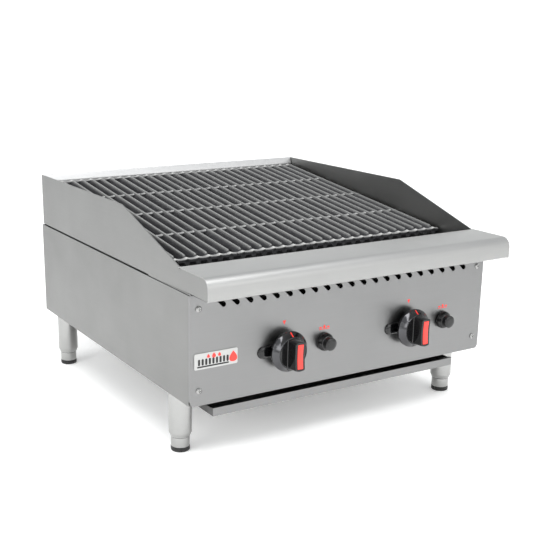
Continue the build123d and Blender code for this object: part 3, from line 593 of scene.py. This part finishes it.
class Finishes:
    """Every finish of the object, made once."""

    def __init__(self) -> None:
        """Builds the materials."""
        # One alloy throughout; each piece's colour is set apart to paint light and shade into it: the back
        # splash is lightest as a painted reflection, the ledge lighter as painted light on its top, and the
        # sides, panel and guards darker as painted shade.
        self.ledge = BrushedStainless(
            "brushed_stainless_ledge", "#a0a09f", 0.42, wave_height_mm=0.03).material()
        self.splash = BrushedStainless(
            "brushed_stainless_splash", "#bababa", 0.36, wave_height_mm=0.0).material()
        self.sides = BrushedStainless("brushed_stainless_sides", "#7f7f7e", 0.38, Grain.ALONG_Y).material()
        self.panel = BrushedStainless("brushed_stainless_panel", "#838383", 0.34).material()
        self.guards = BrushedStainless(
            "brushed_stainless_guards", "#828281", 0.36, Grain.ALONG_Y).material()
        self.plain = BrushedStainless("mill_stainless", "#7d7d7b", 0.42).material()
        self.tube = PolishedMetal("buffed_stainless_tube", "#a2a2a1", 0.12).material()
        self.screws = PolishedMetal("polished_screw_steel", "#9c9c9b", 0.10).material()
        # Dark chrome plate; its dark colour is partly a painted reflection of the dark ledge underside above
        # the rings.
        self.chrome = PolishedMetal("black_chrome_and_painted_reflection", "#515153", 0.06).material()
        self.iron = CastIron("cast_iron").material()
        self.brass = PolishedMetal("machined_brass", "#b8934f", 0.28).material()
        self.pipe = Moulded("black_pipe_lacquer", "#1b1b1c", 0.45).material()
        self.knob = Moulded("black_phenolic", "#050506", 0.13, peel_height_mm=0.008).material()
        self.dull_knob = Moulded("satin_black_phenolic", "#060607", 0.22, peel_height_mm=0.01).material()
        self.red = Moulded("red_enamel", "#f0352c", 0.35).material()
        self.rubber = Moulded("black_rubber", "#0b0b0b", 0.55, 1.2, 0.05).material()
        self.badge = BrushedStainless("satin_badge", "#b8b8b7", 0.45, wave_height_mm=0.0).material()
        self.ink = Moulded("black_ink", "#141414", 0.5).material()


# ------------------------------------------------------------------ sub-assemblies
@dataclass
class Body:
    """Landing ledge, splash guards and back splash."""

    finishes: Finishes
    sheet: float = 1.5
    gap: float = 0.3
    nose_radius: float = 17.0
    fold_radius: float = 2.5
    ledge_depth: float = 93.5
    ledge_return: float = 57.0
    ledge_lip: float = 35.7
    end_stub: float = 3.6
    rear_flange: float = 24.0
    guard_flat_front: float = -48.8
    guard_height: float = 100.3
    skirt_step: float = -146.0
    back_lean: float = 8.0
    back_land: float = 3.4
    back_fold: float = 12.5
    back_skirt: float = 42.5
    back_radii: tuple[float, float, float] = (1.7, 1.7, 3.0)
    return_room: float = 1.2        # guard's clearance behind the ledge's return
    flange_short: float = 14.0      # how far a guard's flange stops before the back

    def ledge_outline(self, flange: float, back: float, radius: float) -> np.ndarray:
        """Side view of the ledge's sheet.

        Args:
            flange: height of the flange down at the rear.
            back: depth of the return under the nose.
            radius: outside radius of the two small folds.

        Returns:
            Its closed outline, counter-clockwise.
        """
        low, high = box_mm("landing_ledge")
        nose, top, bottom = low[1], high[2], high[2] - self.ledge_lip
        rear = nose + self.ledge_depth
        path = np.array([(rear, top - flange), (rear, top), (nose, top), (nose, bottom),
                         (nose + back, bottom)])
        radii = np.array([radius, self.nose_radius, radius])
        return counter_clockwise(sheet_outline(path, self.sheet, radii))

    def make_ledge(self) -> None:
        """Folded ledge: one outline carried across; its flange and return are cut short past the guards."""
        low, high = box_mm("landing_ledge")
        full = self.ledge_outline(self.rear_flange, self.ledge_return, self.fold_radius)
        short = self.ledge_outline(self.end_stub, self.end_stub, self.sheet + 0.2)
        rim, inside, step = 0.25, self.guard_inner() - self.gap, 0.05
        loops = np.stack([inset(short, rim), short, short, full, full, short, short, inset(short, rim)])
        across = np.array([low[0], low[0] + rim, -inside - step, -inside,
                           inside, inside + step, high[0] - rim, high[0]])
        stations = np.broadcast_to(across[:, None, None], loops.shape[:2] + (1,))
        shell = stack_rings(along_x().carry(np.concatenate([loops, stations], axis=-1)))
        piece = make_piece("folded_ledge", [shell], self.finishes.ledge)
        settle(piece, "chassis", "stainless_brushed", "landing_ledge")

    def guard_inner(self) -> float:
        """Distance from the middle to a guard's inner face."""
        return box_mm("right_splash_guard")[1][0] - self.sheet

    def guard_outline(self) -> np.ndarray:
        """Side view of a guard: sloping top edge, and a front end that closes the ledge's curl.

        Returns:
            Its closed outline.
        """
        ledge_low, ledge_high = box_mm("landing_ledge")
        low, high = box_mm("left_splash_guard")
        inner = self.sheet + self.gap
        nose = ledge_low[1] + inner
        top_in = ledge_high[2] - inner
        bottom = ledge_high[2] - self.ledge_lip
        stub = ledge_low[1] + self.end_stub + self.gap
        rear_of_ledge = ledge_low[1] + self.ledge_depth
        back_of_return = ledge_low[1] + self.ledge_return + self.return_room
        skirt = high[2] - self.guard_height
        corners = np.array([
            (nose, top_in), (rear_of_ledge, top_in), (rear_of_ledge, ledge_high[2] - 0.2),
            (self.guard_flat_front, high[2]), (high[1], high[2]), (high[1], skirt),
            (self.skirt_step, skirt), (self.skirt_step, low[2]), (back_of_return, low[2]),
            (back_of_return, bottom), (stub, bottom), (stub, bottom + inner), (nose, bottom + inner)])
        radii = np.array([self.nose_radius - inner, 0, 0, 6.0, 1.0, 0.5, 0.3, 0.3, 0.3, 0.3, 0.2, 0.2, 0.5])
        return round_corners(corners, radii)

    def make_guards(self) -> None:
        """Two side guards with their bottom flanges, and the folded back splash."""
        outline = self.guard_outline()
        for side, sign in SIDES.items():
            low, high = box_mm(side + "_splash_guard")
            outer = high[0] if sign > 0 else low[0]
            inner = outer - sign * self.sheet
            plate = extruded(outline, along_x(), min(inner, outer), max(inner, outer), 0.35)
            foot = high[2] - self.guard_height
            flange_y = (self.skirt_step, high[1] - self.flange_short)
            strip = np.array([(flange_y[0], foot), (flange_y[1], foot), (flange_y[1], foot + self.sheet),
                              (flange_y[0], foot + self.sheet)])
            edge = low[0] if sign > 0 else high[0]
            flange = extruded(strip, along_x(), min(edge, inner), max(edge, inner), 0.2)
            piece = make_piece(side + "_guard_sheet", [plate, flange], self.finishes.guards)
            settle(piece, "chassis", "stainless_brushed", side + "_splash_guard")
        low, high = box_mm("back_splash")
        lean = high[1] - self.back_lean
        fold = high[2] - self.back_fold
        path = np.array([(high[1], low[2]), (high[1], high[2]), (high[1] - self.back_land, high[2]),
                         (lean, fold), (lean, fold - self.back_skirt)])
        outline = sheet_outline(path, self.sheet, self.back_radii)
        shell = extruded(outline, along_x(), low[0], high[0])
        piece = make_piece("folded_back_splash", [shell], self.finishes.splash)
        settle(piece, "chassis", "stainless_brushed", "back_splash")

    def build(self) -> None:
        """Builds every sheet piece."""
        self.make_ledge()
        self.make_guards()


@dataclass
class Knob:
    """Burner knob: polished ring, black disc and bar grip, red pointer strip and tick."""

    finishes: Finishes
    side: str
    ring_radius: float = 34.0
    lip_radius: float = 26.5
    ring_wall: float = 0.9
    band: float = 4.2
    ring_depth: float = 14.5
    cone_hollow: float = 0.5
    grip_depth: float = 22.0
    grip_base: float = 20.0
    grip_front: float = 18.0
    strip_size: tuple[float, float] = (10.2, 40.6)
    dip: float = 2.2
    hub_radius: float = 15.0

    def cone(self, s: np.ndarray) -> tuple[np.ndarray, np.ndarray]:
        """The ring's front cone: a straight line from band to lip, less cone_hollow * sin(pi s) in radius.

        Args:
            s: shares of the way from the band, 0, to the lip, 1.

        Returns:
            The radii and the heights.
        """
        straight = self.ring_radius + (self.lip_radius - self.ring_radius) * s
        return straight - self.cone_hollow * np.sin(np.pi * s), self.band + (self.ring_depth - self.band) * s

    def make_ring(self, place: Place) -> bpy.types.Object:
        """Bezel ring: a short band and the hollowed cone, turned about the stem.

        Args:
            place: axes on the stem, at the ring's back.

        Returns:
            The piece.
        """
        cone = np.stack(self.cone(np.linspace(0.0, 1.0, 9)), axis=1)
        outer = np.vstack([[(self.ring_radius, 0.0)], cone])
        inner = (outer - (self.ring_wall, 0.0))[::-1]
        profile = round_corners(np.vstack([outer, inner]), 0.4, steps=4)
        ring = turned(profile, place, 128, loop=True)
        return make_piece("polished_ring_" + self.side, [ring], self.finishes.chrome)

    def hollow(self, across: np.ndarray) -> np.ndarray:
        """How far the grip's front is sunk at a height: dip * (1 - (v / reach)^2), nothing past its ends."""
        return self.dip * np.clip(1 - (across / (self.lip_radius - self.ring_wall)) ** 2, 0.0, 1.0)

    def make_grip(self, place: Place) -> bpy.types.Object:
        """Disc and bar grip as one stack of clipped-box rings.

        The front is sunk by the hollow's depth times a share that grows with height, and pocketed for the
        strip.

        Args:
            place: axes on the stem, at the ring's back.

        Returns:
            The piece.
        """
        angle = (np.arange(192) + 0.5) * 2 * np.pi / 192
        disc_r = self.lip_radius - self.ring_wall - 0.05
        top, edge = self.ring_depth, 0.9
        front = top + self.grip_depth
        s = np.linspace(0.0, 1.0, 9)
        quarter = np.linspace(0.0, np.pi / 2, 7)
        pocket = np.array([1.2, 0.2, 0.2])      # room around the strip: a wider mouth, then straight walls
        width = np.concatenate([
            [2 * disc_r, 2 * disc_r], self.grip_base + 3 * (1 - np.array([0.0, 0.5, 0.85])) ** 2,
            self.grip_base + (self.grip_front - self.grip_base) * s[1:],
            self.grip_front - 2 * edge * (1 - np.cos(quarter[1:])),
            self.strip_size[0] + pocket])
        limit = np.concatenate([
            [disc_r, disc_r], np.full(3, disc_r - 0.4), disc_r - 0.4 - 0.8 * s[1:],
            disc_r - 1.2 - edge * (1 - np.cos(quarter[1:])), np.full(3, disc_r)])
        tall = np.concatenate([np.full(len(width) - len(pocket), 4 * disc_r), self.strip_size[1] + pocket])
        height = np.concatenate([
            [top - 1.5, top - 0.2], top + np.array([0.0, 0.5, 1.2]),
            top + 1.2 + (self.grip_depth - edge - 1.2) * s[1:],
            front - edge * (1 - np.sin(quarter[1:])), [front, front - 0.5, front - 2.0]])
        radius = polar_box(width[:, None], tall[:, None], limit[:, None], angle)
        level = np.broadcast_to(height[:, None], radius.shape)
        risen = np.clip((level - top - 6) / (self.grip_depth - 6), 0.0, 1.0) ** 2
        sunk = level - self.hollow(radius * np.sin(angle)) * risen
        rings = np.stack([radius * np.cos(angle), radius * np.sin(angle), sunk], axis=-1)
        grip = stack_rings(place.carry(rings))
        wall = self.ring_radius - self.ring_wall - 0.1
        back = np.array([
            (self.hub_radius, -11.0), (self.hub_radius, 0.0), (wall, 0.2), (wall, self.band - 0.2),
            (disc_r, top - 0.6), (disc_r - 0.8, top), (disc_r - 3.0, top)])
        disc = turned(back, place, 128)
        return make_piece("bar_grip_" + self.side, [grip, disc], self.finishes.knob)

    def make_strip(self, place: Place) -> bpy.types.Object:
        """Red pointer strip that follows the grip's hollow front: z = front - hollow(v), rows along v.

        Args:
            place: axes on the stem, at the ring's back.

        Returns:
            The piece.
        """
        v = np.linspace(-self.strip_size[1] / 2, self.strip_size[1] / 2, 25)
        half = self.strip_size[0] / 2
        loop = round_corners(np.array([(-half, -2.0), (half, -2.0), (half, 0.5), (-half, 0.5)]), 0.5, steps=5)
        ends = np.minimum(v + self.strip_size[1] / 2, self.strip_size[1] / 2 - v)
        trim = 0.4 * np.clip(1 - ends / 0.6, 0, 1)
        across = np.broadcast_to(loop[:, 0], (len(v), len(loop)))
        front = self.ring_depth + self.grip_depth - self.hollow(v)[:, None]
        height = front - trim[:, None] * (loop[:, 1] > 0) + loop[:, 1]
        rings = np.stack([across, np.broadcast_to(v[:, None], across.shape), height], axis=-1)
        return make_piece("red_strip_" + self.side, [stack_rings(place.carry(rings))], self.finishes.red)

    def make_tick(self, place: Place) -> bpy.types.Object:
        """Red tick on the ring's cone: a strip at height z = sqrt(r^2 - x^2) above the axis.

        Args:
            place: axes on the stem, at the ring's back.

        Returns:
            The piece.
        """
        radius, height = self.cone(np.linspace(0.12, 0.86, 10))
        across = np.array([-1.1, 1.1, 1.1, -1.1])
        lift = np.array([0.22, 0.22, -0.3, -0.3])
        radius = radius[:, None] + lift
        rings = np.stack([np.broadcast_to(across, radius.shape), np.sqrt(radius**2 - across**2),
                          height[:, None] + 0.6 * lift], axis=-1)
        return make_piece("red_tick_" + self.side, [stack_rings(place.carry(rings))], self.finishes.red)

    def build(self) -> None:
        """Builds the knob and its small pieces."""
        low, high = box_mm("knob_ring_" + self.side)
        place = towards_cook((low[0] + high[0]) / 2, high[1], (low[2] + high[2]) / 2)
        body = self.side + "_knob"
        settle(self.make_ring(place), body, "chrome", "knob_ring_" + self.side)
        settle(self.make_grip(place), body, "black_plastic", "knob_body_" + self.side)
        settle(self.make_strip(place), body, "red_plastic", "knob_insert_" + self.side)
        settle(self.make_tick(place), body, "red_plastic")


@dataclass
class PilotKnob:
    """Small satin knob: a domed skirt and a stepped, slightly domed cap."""

    finishes: Finishes
    side: str
    skirt_radius: float = 15.5
    cap_radius: float = 11.0
    depth: float = 23.0
    stem_radius: float = 3.0

    def build(self) -> None:
        """Builds the knob and its stem as two turned skins."""
        low, high = box_mm("pilot_knob_" + self.side)
        place = towards_cook((low[0] + high[0]) / 2, panel_face(), (low[2] + high[2]) / 2)
        skirt, cap, deep = self.skirt_radius, self.cap_radius, self.depth
        corners = np.array([(2.0, 1.0), (skirt, 1.0), (skirt, 6.0), (skirt - 3.2, 12.4), (cap, 12.9),
                            (cap, deep - 1.6), (cap * 0.6, deep - 0.3), (0.05, deep)])
        profile = round_corners(corners, [0, 0.6, 5.0, 1.0, 0.6, 1.6, 6.0, 0], closed=False)
        knob = turned(profile, place)
        reach = high[1] - panel_face()
        stem = turned(np.array([(self.stem_radius, -reach), (self.stem_radius, 1.5)]), place, 32)
        piece = make_piece("pilot_cap_" + self.side, [knob, stem], self.finishes.dull_knob)
        settle(piece, self.side + "_pilot_knob", "black_plastic", "pilot_knob_" + self.side)


@dataclass
class Ports:
    """Oblong black covers over the lighting ports, domed like a bean and glossy."""

    finishes: Finishes
    length: float = 34.0
    width: float = 21.0
    proud: float = 5.0
    neck: float = 2.7

    def build(self) -> None:
        """Builds both covers, each a quarter-ellipse dome stretched into an oblong."""
        low, high = box_mm("lighting_port_covers")
        t = np.linspace(0.0, np.pi / 2, 14)
        outer = self.width / 2
        dome = np.stack([0.1 + (outer - 0.1) * np.cos(t), 0.6 + (self.proud - 0.6) * np.sin(t)], axis=1)
        neck = np.array([(outer - self.neck, -4.5), (outer - self.neck, 0.0), (outer, 0.0)])
        profile = np.vstack([neck, dome])
        shells = []
        for x in (low[0] + self.length / 2, high[0] - self.length / 2):
            place = towards_cook(x, low[1] + self.proud, (low[2] + high[2]) / 2)
            shells.append(turned(profile, place, 96, (self.length - self.width) / 2))
        piece = make_piece("port_covers", shells, self.finishes.knob, 60.0)
        settle(piece, "chassis", "black_plastic", "lighting_port_covers")


@dataclass
class Grate:
    """Cast grate: seven tapered bars with rounded front tips, on five scalloped cross rails."""

    finishes: Finishes
    number: int
    tilt: float = 6.84
    bars: int = 7
    pitch: float = 20.9
    length: float = 510.5
    depth: float = 24.0
    ridge: float = 2.0
    shoulder: tuple[float, float] = (5.4, 11.0)
    stem: tuple[float, float] = (2.2, 14.0)
    rail_thickness: float = 7.0
    rail_bottom: float = -9.6
    hump: float = -0.9
    scallop: float = 2.6
    tip: float = 12.0
    nose: float = 3.2

    def place(self) -> Place:
        """The grate's own frame: y along the bars, z square to the tilted ridge plane.

        Returns:
            The frame, its origin at the front of the ridges' level.
        """
        low, high = box_mm("grate_" + str(self.number))
        sine, cosine = math.sin(math.radians(self.tilt)), math.cos(math.radians(self.tilt))
        origin = ((low[0] + high[0]) / 2, low[1] - self.nose * sine, low[2] + self.depth * cosine)
        return Place(origin, (1.0, 0.0, 0.0), (0.0, cosine, sine), (0.0, -sine, cosine))

    def bar(self, place: Place, x: float) -> Shell:
        """One bar: its section carried along y, its top stepping down by a quarter circle at both ends.

        Past the nose the top is nose lower. On the nose it is lower by
        nose - sqrt(nose^2 - (tip + nose - y)^2).

        Args:
            place: the grate's frame.
            x: the bar's middle.

        Returns:
            The bar's skin.
        """
        section = np.array([
            (self.ridge, 0.0), (self.shoulder[0], -self.shoulder[1]), (self.stem[0], -self.stem[1]),
            (self.stem[0], -self.depth), (-self.stem[0], -self.depth), (-self.stem[0], -self.stem[1]),
            (-self.shoulder[0], -self.shoulder[1]), (-self.ridge, 0.0)])
        section = round_corners(section, [1.1, 1.2, 1.0, 0.8, 0.8, 1.0, 1.2, 1.1], steps=4)
        start = self.tip
        nose = start + self.nose * (1 - np.cos(np.linspace(0.0, np.pi / 2, 8)))
        front = np.concatenate([[0.0, 0.6, start * 0.6, start - 0.4], nose])
        middle = np.linspace(start + 25, self.length - start - 25, 12)
        y = np.concatenate([front, middle, self.length - front[::-1]])
        near_end = np.minimum(y, self.length - y)
        past = np.clip(start + self.nose - near_end, 0.0, self.nose)
        fall = self.nose - np.sqrt(np.maximum(self.nose**2 - past**2, 0.0))
        share = np.clip(1 + section[:, 1] / 7, 0, 1)
        squeeze = 1 - 0.12 * (near_end < 0.3)[:, None]
        across = x + section[:, 0] * squeeze
        height = section[:, 1] - fall[:, None] * share
        rings = np.stack([across, np.broadcast_to(y[:, None], across.shape), height], axis=-1)
        return stack_rings(place.carry(rings))

    def rail(self, place: Place, y: float) -> Shell:
        """One cross rail: an oblong section carried along x, its top scalloped between the bars.

        The top is at hump - scallop * |sin(pi x / pitch)|^0.7.

        Args:
            place: the grate's frame.
            y: where the rail starts along the bars.

        Returns:
            The rail's skin.
        """
        low, high = box_mm("grate_" + str(self.number))
        half = (high[0] - low[0]) / 2
        x = np.linspace(-half, half, 141)
        top = self.hump - self.scallop * np.abs(np.sin(np.pi * x / self.pitch)) ** 0.7
        t = self.rail_thickness
        loop = round_corners(np.array([(0, 0), (t, 0), (t, 1), (0, 1)], float) * (1, 6.0), 1.3, steps=4)
        share = loop[:, 1] / 6.0
        height = self.rail_bottom + share * (top - self.rail_bottom)[:, None]
        rings = np.stack([np.broadcast_to(x[:, None], height.shape),
                          np.broadcast_to(y + loop[:, 0], height.shape), height], axis=-1)
        return stack_rings(place.carry(rings))

    def build(self) -> None:
        """Builds the bars, and the rails that join them, of one casting."""
        place = self.place()
        middle = (self.bars - 1) / 2
        bars = [self.bar(place, (i - middle) * self.pitch) for i in range(self.bars)]
        step = (self.length - self.rail_thickness) / 4
        rails = [self.rail(place, i * step) for i in range(5)]
        distance = float(np.dot(place.z, place.origin))
        body, node = "grate_%d_lift" % self.number, "grate_%d" % self.number
        # The bars' tops are painted paler: scraped wear and a painted highlight.
        iron = CastIron("ground_and_highlit_cast_iron_%d" % self.number, plane=(*place.z, distance)).material()
        settle(make_piece("cast_bars_%d" % self.number, bars, iron, 50.0), body, "cast_iron", node)
        # The rails' scalloped tops are painted far paler: scraped wear and a painted highlight.
        plane = (*place.z, distance + self.hump)
        iron = CastIron("scraped_and_highlit_cast_iron_%d" % self.number, worn="#b4b4b2", plane=plane).material()
        settle(make_piece("cast_rails_%d" % self.number, rails, iron, 50.0), body, "cast_iron")


@dataclass
class Legs:
    """Turned leg tubes, adjustable feet and their pads."""

    finishes: Finishes
    radius: float = 19.5
    neck: float = 16.4
    bore: float = 15.3
    bore_depth: float = 40.0
    core: float = 10.0              # where the foot's and pad's skins begin, out of sight
    taper: tuple[float, float] = (25.5, 33.0)
    foot_radius: float = 15.0
    collar: float = 15.8
    pad_radius: float = 16.0
    pad: float = 8.5
    barrel: float = 40.0
    stud: float = 34.0
    stud_radius: float = 6.0
    tube_top: float = 102.0
    mount_stud: float = 16.0

    def build(self) -> None:
        """Builds four tubes as one piece, and each foot and pad by itself."""
        tubes = []
        for name in ("front_left", "front_right", "rear_left", "rear_right"):
            middle = middle_mm("foot_pad_" + name)
            place = Place((middle[0], middle[1], 0.0))
            low_end, high_end = self.taper
            corners = np.array([
                (self.bore, low_end + self.bore_depth), (self.bore, low_end), (self.neck, low_end),
                (self.radius, high_end), (self.radius, self.tube_top), (self.stud_radius, self.tube_top),
                (self.stud_radius, self.tube_top + self.mount_stud)])
            tubes.append(turned(round_corners(corners, [0, 0.3, 1.0, 2.5, 0.8, 0, 0], closed=False), place))
            body, top, shoulder = "foot_" + name, self.pad + self.barrel, self.taper[0] - 0.4
            corners = np.array([(self.core, self.pad), (self.collar, self.pad), (self.collar, shoulder),
                                (self.foot_radius, shoulder), (self.foot_radius, top),
                                (self.stud_radius, top), (self.stud_radius, top + self.stud)])
            foot = turned(round_corners(corners, [0, 0.3, 0.5, 0.2, 0.5, 0.5, 0], closed=False), place, 64)
            piece = make_piece("turned_foot_" + name, [foot], self.finishes.tube)
            settle(piece, body, "stainless_tube", body)
            corners = np.array([(self.core, 0.0), (self.pad_radius, 0.0), (self.pad_radius, self.pad),
                                (self.core, self.pad)])
            pad = turned(round_corners(corners, [0, 2.4, 0.5, 0], closed=False), place, 64)
            piece = make_piece("moulded_pad_" + name, [pad], self.finishes.rubber)
            settle(piece, body, "rubber", "foot_pad_" + name)
        piece = make_piece("turned_legs", tubes, self.finishes.tube)
        settle(piece, "chassis", "stainless_tube", "leg_tubes")


@dataclass
class Marks:
    """Badge pictogram, knob index triangles and small pilot marks on the control panel."""

    finishes: Finishes
    thick: float = 0.25
    rim: float = 0.05
    bar_count: int = 9
    bar_pitch: float = 6.4
    first_bar: tuple[float, float, float, float] = (-32.5, -6.8, 3.8, 10.5)    # left, bottom, size
    base_bar: tuple[float, float, float, float] = (-34.0, -10.2, 57.0, 2.4)
    fire_sizes: tuple[float, float, float] = (6.4, 8.4, 6.4)
    fire_pitch: float = 10.0
    first_fire: tuple[float, float] = (-14.0, 7.4)
    tall_fire_at: float = 31.0
    tall_fire: float = 18.0
    hint_line: tuple[float, float, float, float] = (-11.0, -3.4, 22.0, 1.0)
    hint_flame: float = 6.4
    hint_flame_rise: float = 1.4
    hint_dash: tuple[float, float, float] = (-1.0, 5.2, 2.4)        # bottom, width, height
    hint_dashes: tuple[float, float] = (-10.4, 5.2)                 # where the two dashes start
    triangle_rise: float = 44.6     # index triangle above the knob's axis
    hint_rise: float = 24.5         # pilot mark above the pilot knob's axis

    def flame(self, place: Place, size: float) -> Shell:
        """Flame outline with its point at the top: x = 0.36 size cos t (1 - sin t)^0.6, y = 0.5 size sin t.

        Args:
            place: axes of the plate that carries it.
            size: height of the flame.

        Returns:
            Its skin.
        """
        t = np.linspace(0, 2 * np.pi, 48, endpoint=False)
        x = 0.36 * size * np.cos(t) * (1 - np.sin(t)) ** 0.6
        y = size * (0.5 * np.sin(t))
        return extruded(np.stack([x, y], axis=1), place, 0.0, self.thick, self.rim)

    def bar(self, place: Place, x: float, y: float, width: float, height: float) -> Shell:
        """A flat oblong with rounded ends."""
        corners = np.array([(x, y), (x + width, y), (x + width, y + height), (x, y + height)])
        return extruded(round_corners(corners, min(width, height) * 0.45), place, 0.0, self.thick, self.rim)

    def build(self) -> None:
        """Builds the marks a little proud of the plates that carry them."""
        middle = middle_mm("badge_plate")
        face = box_mm("badge_plate")[0][1]
        badge = towards_cook(middle[0], face, middle[2])
        left, *rest = self.first_bar
        bars = [self.bar(badge, left + self.bar_pitch * i, *rest) for i in range(self.bar_count)]
        bars.append(self.bar(badge, *self.base_bar))
        settle(make_piece("badge_grill_bars", bars, self.finishes.ink), "chassis", "black_plastic")
        fires = []
        left, rise = self.first_fire
        for i, size in enumerate(self.fire_sizes):
            at = towards_cook(middle[0] + left + self.fire_pitch * i, face, middle[2] + rise)
            fires.append(self.flame(at, size))
        at = towards_cook(middle[0] + self.tall_fire_at, face, middle[2])
        fires.append(self.flame(at, self.tall_fire))
        triangles, hints = [], []
        for side in SIDES:
            middle = middle_mm("knob_ring_" + side)
            place = towards_cook(middle[0], panel_face(), middle[2] + self.triangle_rise)
            corners = np.array([(-3.3, 3.4), (0.0, -3.6), (3.3, 3.4)])
            triangles.append(extruded(round_corners(corners, 0.3), place, 0.0, self.thick, self.rim))
            middle = middle_mm("pilot_knob_" + side)
            rise = middle[2] + self.hint_rise
            place = towards_cook(middle[0], panel_face(), rise)
            above = towards_cook(middle[0], panel_face(), rise + self.hint_flame_rise)
            hints += [self.bar(place, *self.hint_line), self.flame(above, self.hint_flame)]
            hints += [self.bar(place, x, *self.hint_dash) for x in self.hint_dashes]
        piece = make_piece("red_panel_marks", fires + triangles + hints, self.finishes.red)
        settle(piece, "chassis", "red_plastic")


# ------------------------------------------------------------------ studio
@dataclass
class Studio:
    """Round pale floor that curves up far away, soft lights and the camera."""

    floor_colour: str = "#f4f4f3"
    glow: float = 0.22          # light that comes through a tent's white cloth
    camera_at: tuple[float, float, float] = (-970.9, -1542.6, 674.3)
    yaw: float = 30.85
    pitch: float = 15.71
    roll: float = 0.45
    lens_mm: float = 63.59
    shift: tuple[float, float] = (0.0722, 0.0476)

    def make_floor(self) -> None:
        """Floor disc that turns up into a wall at 6 m, turned about the middle."""
        made, tree, where = new_material("matt_floor_paint")
        speck = add_node(tree, "ShaderNodeTexNoise", {"Vector": where, "Scale": 3.0, "Detail": 2.0})
        base = np.array(linear(self.floor_colour))
        tone = add_node(tree, "ShaderNodeMixRGB", {
            "Fac": speck.outputs["Fac"], "Color1": tuple(base),
            "Color2": tuple(base * (0.99, 0.99, 0.99, 1))})
        shade(tree, Base_Color=tone.outputs[0], Roughness=0.9, Emission_Color=(1.0, 1.0, 1.0, 1.0),
              Emission_Strength=self.glow)
        corners = np.array([(1.0, 0.0), (6500.0, 0.0), (6500.0, 3500.0)])
        profile = round_corners(corners, [0, 2500.0, 0], closed=False, steps=24)
        shell = turned(profile, Place((0.0, 0.0, 0.0)), 96)
        bowl = make_piece("studio_floor", [Shell(shell.points, shell.faces[:-1])], made, 60.0)

    def make_light(self, name: str, at: tuple, size: tuple, power: float) -> None:
        """A soft rectangular light that faces the object's middle.

        Args:
            name: object name.
            at: place in metres.
            size: its two sides in metres.
            power: watts.
        """
        light = bpy.data.lights.new(name, "AREA")
        light.shape = "RECTANGLE"
        light.size, light.size_y = size
        light.energy = power
        holder = bpy.data.objects.new(name, light)
        target = np.array((0.0, 0.0, 0.2)) - np.array(at)
        holder.matrix_world = Matrix.Translation(at) @ look_along(target)
        bpy.context.scene.collection.objects.link(holder)

    def make_camera(self) -> None:
        """Camera at the front left, a little above the object."""
        data = bpy.data.cameras.new("camera")
        data.sensor_width = 36.0
        data.lens = self.lens_mm
        data.shift_x, data.shift_y = self.shift
        data.clip_end = 50.0
        camera = bpy.data.objects.new("camera", data)
        turn = Matrix.Rotation(math.radians(-self.yaw), 4, "Z")
        tip = Matrix.Rotation(math.radians(90 - self.pitch), 4, "X")
        spin = Matrix.Rotation(math.radians(self.roll), 4, "Z")
        camera.matrix_world = Matrix.Translation(np.array(self.camera_at) * MM) @ turn @ tip @ spin
        bpy.context.scene.collection.objects.link(camera)
        bpy.context.scene.camera = camera

    def build(self) -> None:
        """Builds the floor, lights, sky and camera."""
        self.make_floor()
        self.make_light("overhead_softbox", (-0.3, -0.9, 2.6), (2.6, 1.6), 66.0)
        self.make_light("left_softbox", (-2.6, -0.6, 1.5), (1.6, 1.8), 22.0)
        self.make_light("front_softbox", (0.9, -2.8, 1.3), (2.0, 1.4), 12.0)
        world = bpy.data.worlds.new("studio_sky")
        world.use_nodes = True
        world.node_tree.nodes["Background"].inputs["Color"].default_value = (0.96, 0.98, 1.0, 1.0)
        world.node_tree.nodes["Background"].inputs["Strength"].default_value = 1.0
        bpy.context.scene.world = world
        bpy.context.scene.view_settings.view_transform = "Standard"
        self.make_camera()


def look_along(direction: np.ndarray) -> Matrix:
    """Rotation that turns a light's or camera's own -Z axis to a direction."""
    return Vector(direction).to_track_quat("-Z", "Y").to_matrix().to_4x4()


def dress_nodes(frame: dict, finishes: Finishes) -> None:
    """Gives every CAD node that stays its finish, by the first matching start of its name.

    Args:
        finishes: the materials.
    """
    rules = [
        ("control_panel_screws", finishes.screws), ("control_panel", finishes.panel),
        ("rear_panel", finishes.sides),
        ("left_side", finishes.sides), ("right_side", finishes.sides), ("badge", finishes.badge),
        ("drip_tray", finishes.panel), ("tray_runner", finishes.plain), ("base_cross", finishes.plain),
        ("firebox", finishes.plain), ("front_grate_rest", finishes.plain),
        ("rear_grate_rest", finishes.plain),
        ("grease_trough", finishes.panel), ("radiants", finishes.iron), ("burner_", finishes.iron),
        ("air_shutter", finishes.plain), ("gas_valve", finishes.brass), ("gas_orifices", finishes.brass),
        ("pilot_valves", finishes.brass), ("valve_stem", finishes.brass), ("gas_inlet", finishes.pipe),
        ("manifold", finishes.pipe), ("supply", finishes.pipe), ("pilot_", finishes.plain),
        ("leg_nuts", finishes.tube)]
    for name, node in frame["nodes"].items():
        chosen = next((finish for start, finish in rules if name.startswith(start)), finishes.plain)
        if not node.material_slots:
            node.data.materials.append(chosen)
        for slot in node.material_slots:
            slot.material = chosen
        LOG.info("%s: %s", name, chosen.name)


def main() -> None:
    """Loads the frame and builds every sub-assembly."""
    logging.basicConfig(level=logging.INFO, format="%(name)s %(message)s")
    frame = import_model()
    finishes = Finishes()
    dress_nodes(frame, finishes)
    parts = [Studio(), Body(finishes), Ports(finishes), Legs(finishes), Marks(finishes)]
    parts += [Knob(finishes, side) for side in SIDES] + [PilotKnob(finishes, side) for side in SIDES]
    parts += [Grate(finishes, number) for number in range(1, 5)]
    for part in parts:
        LOG.info("building %s", type(part).__name__)
        part.build()


if __name__ == "__main__":
    main()
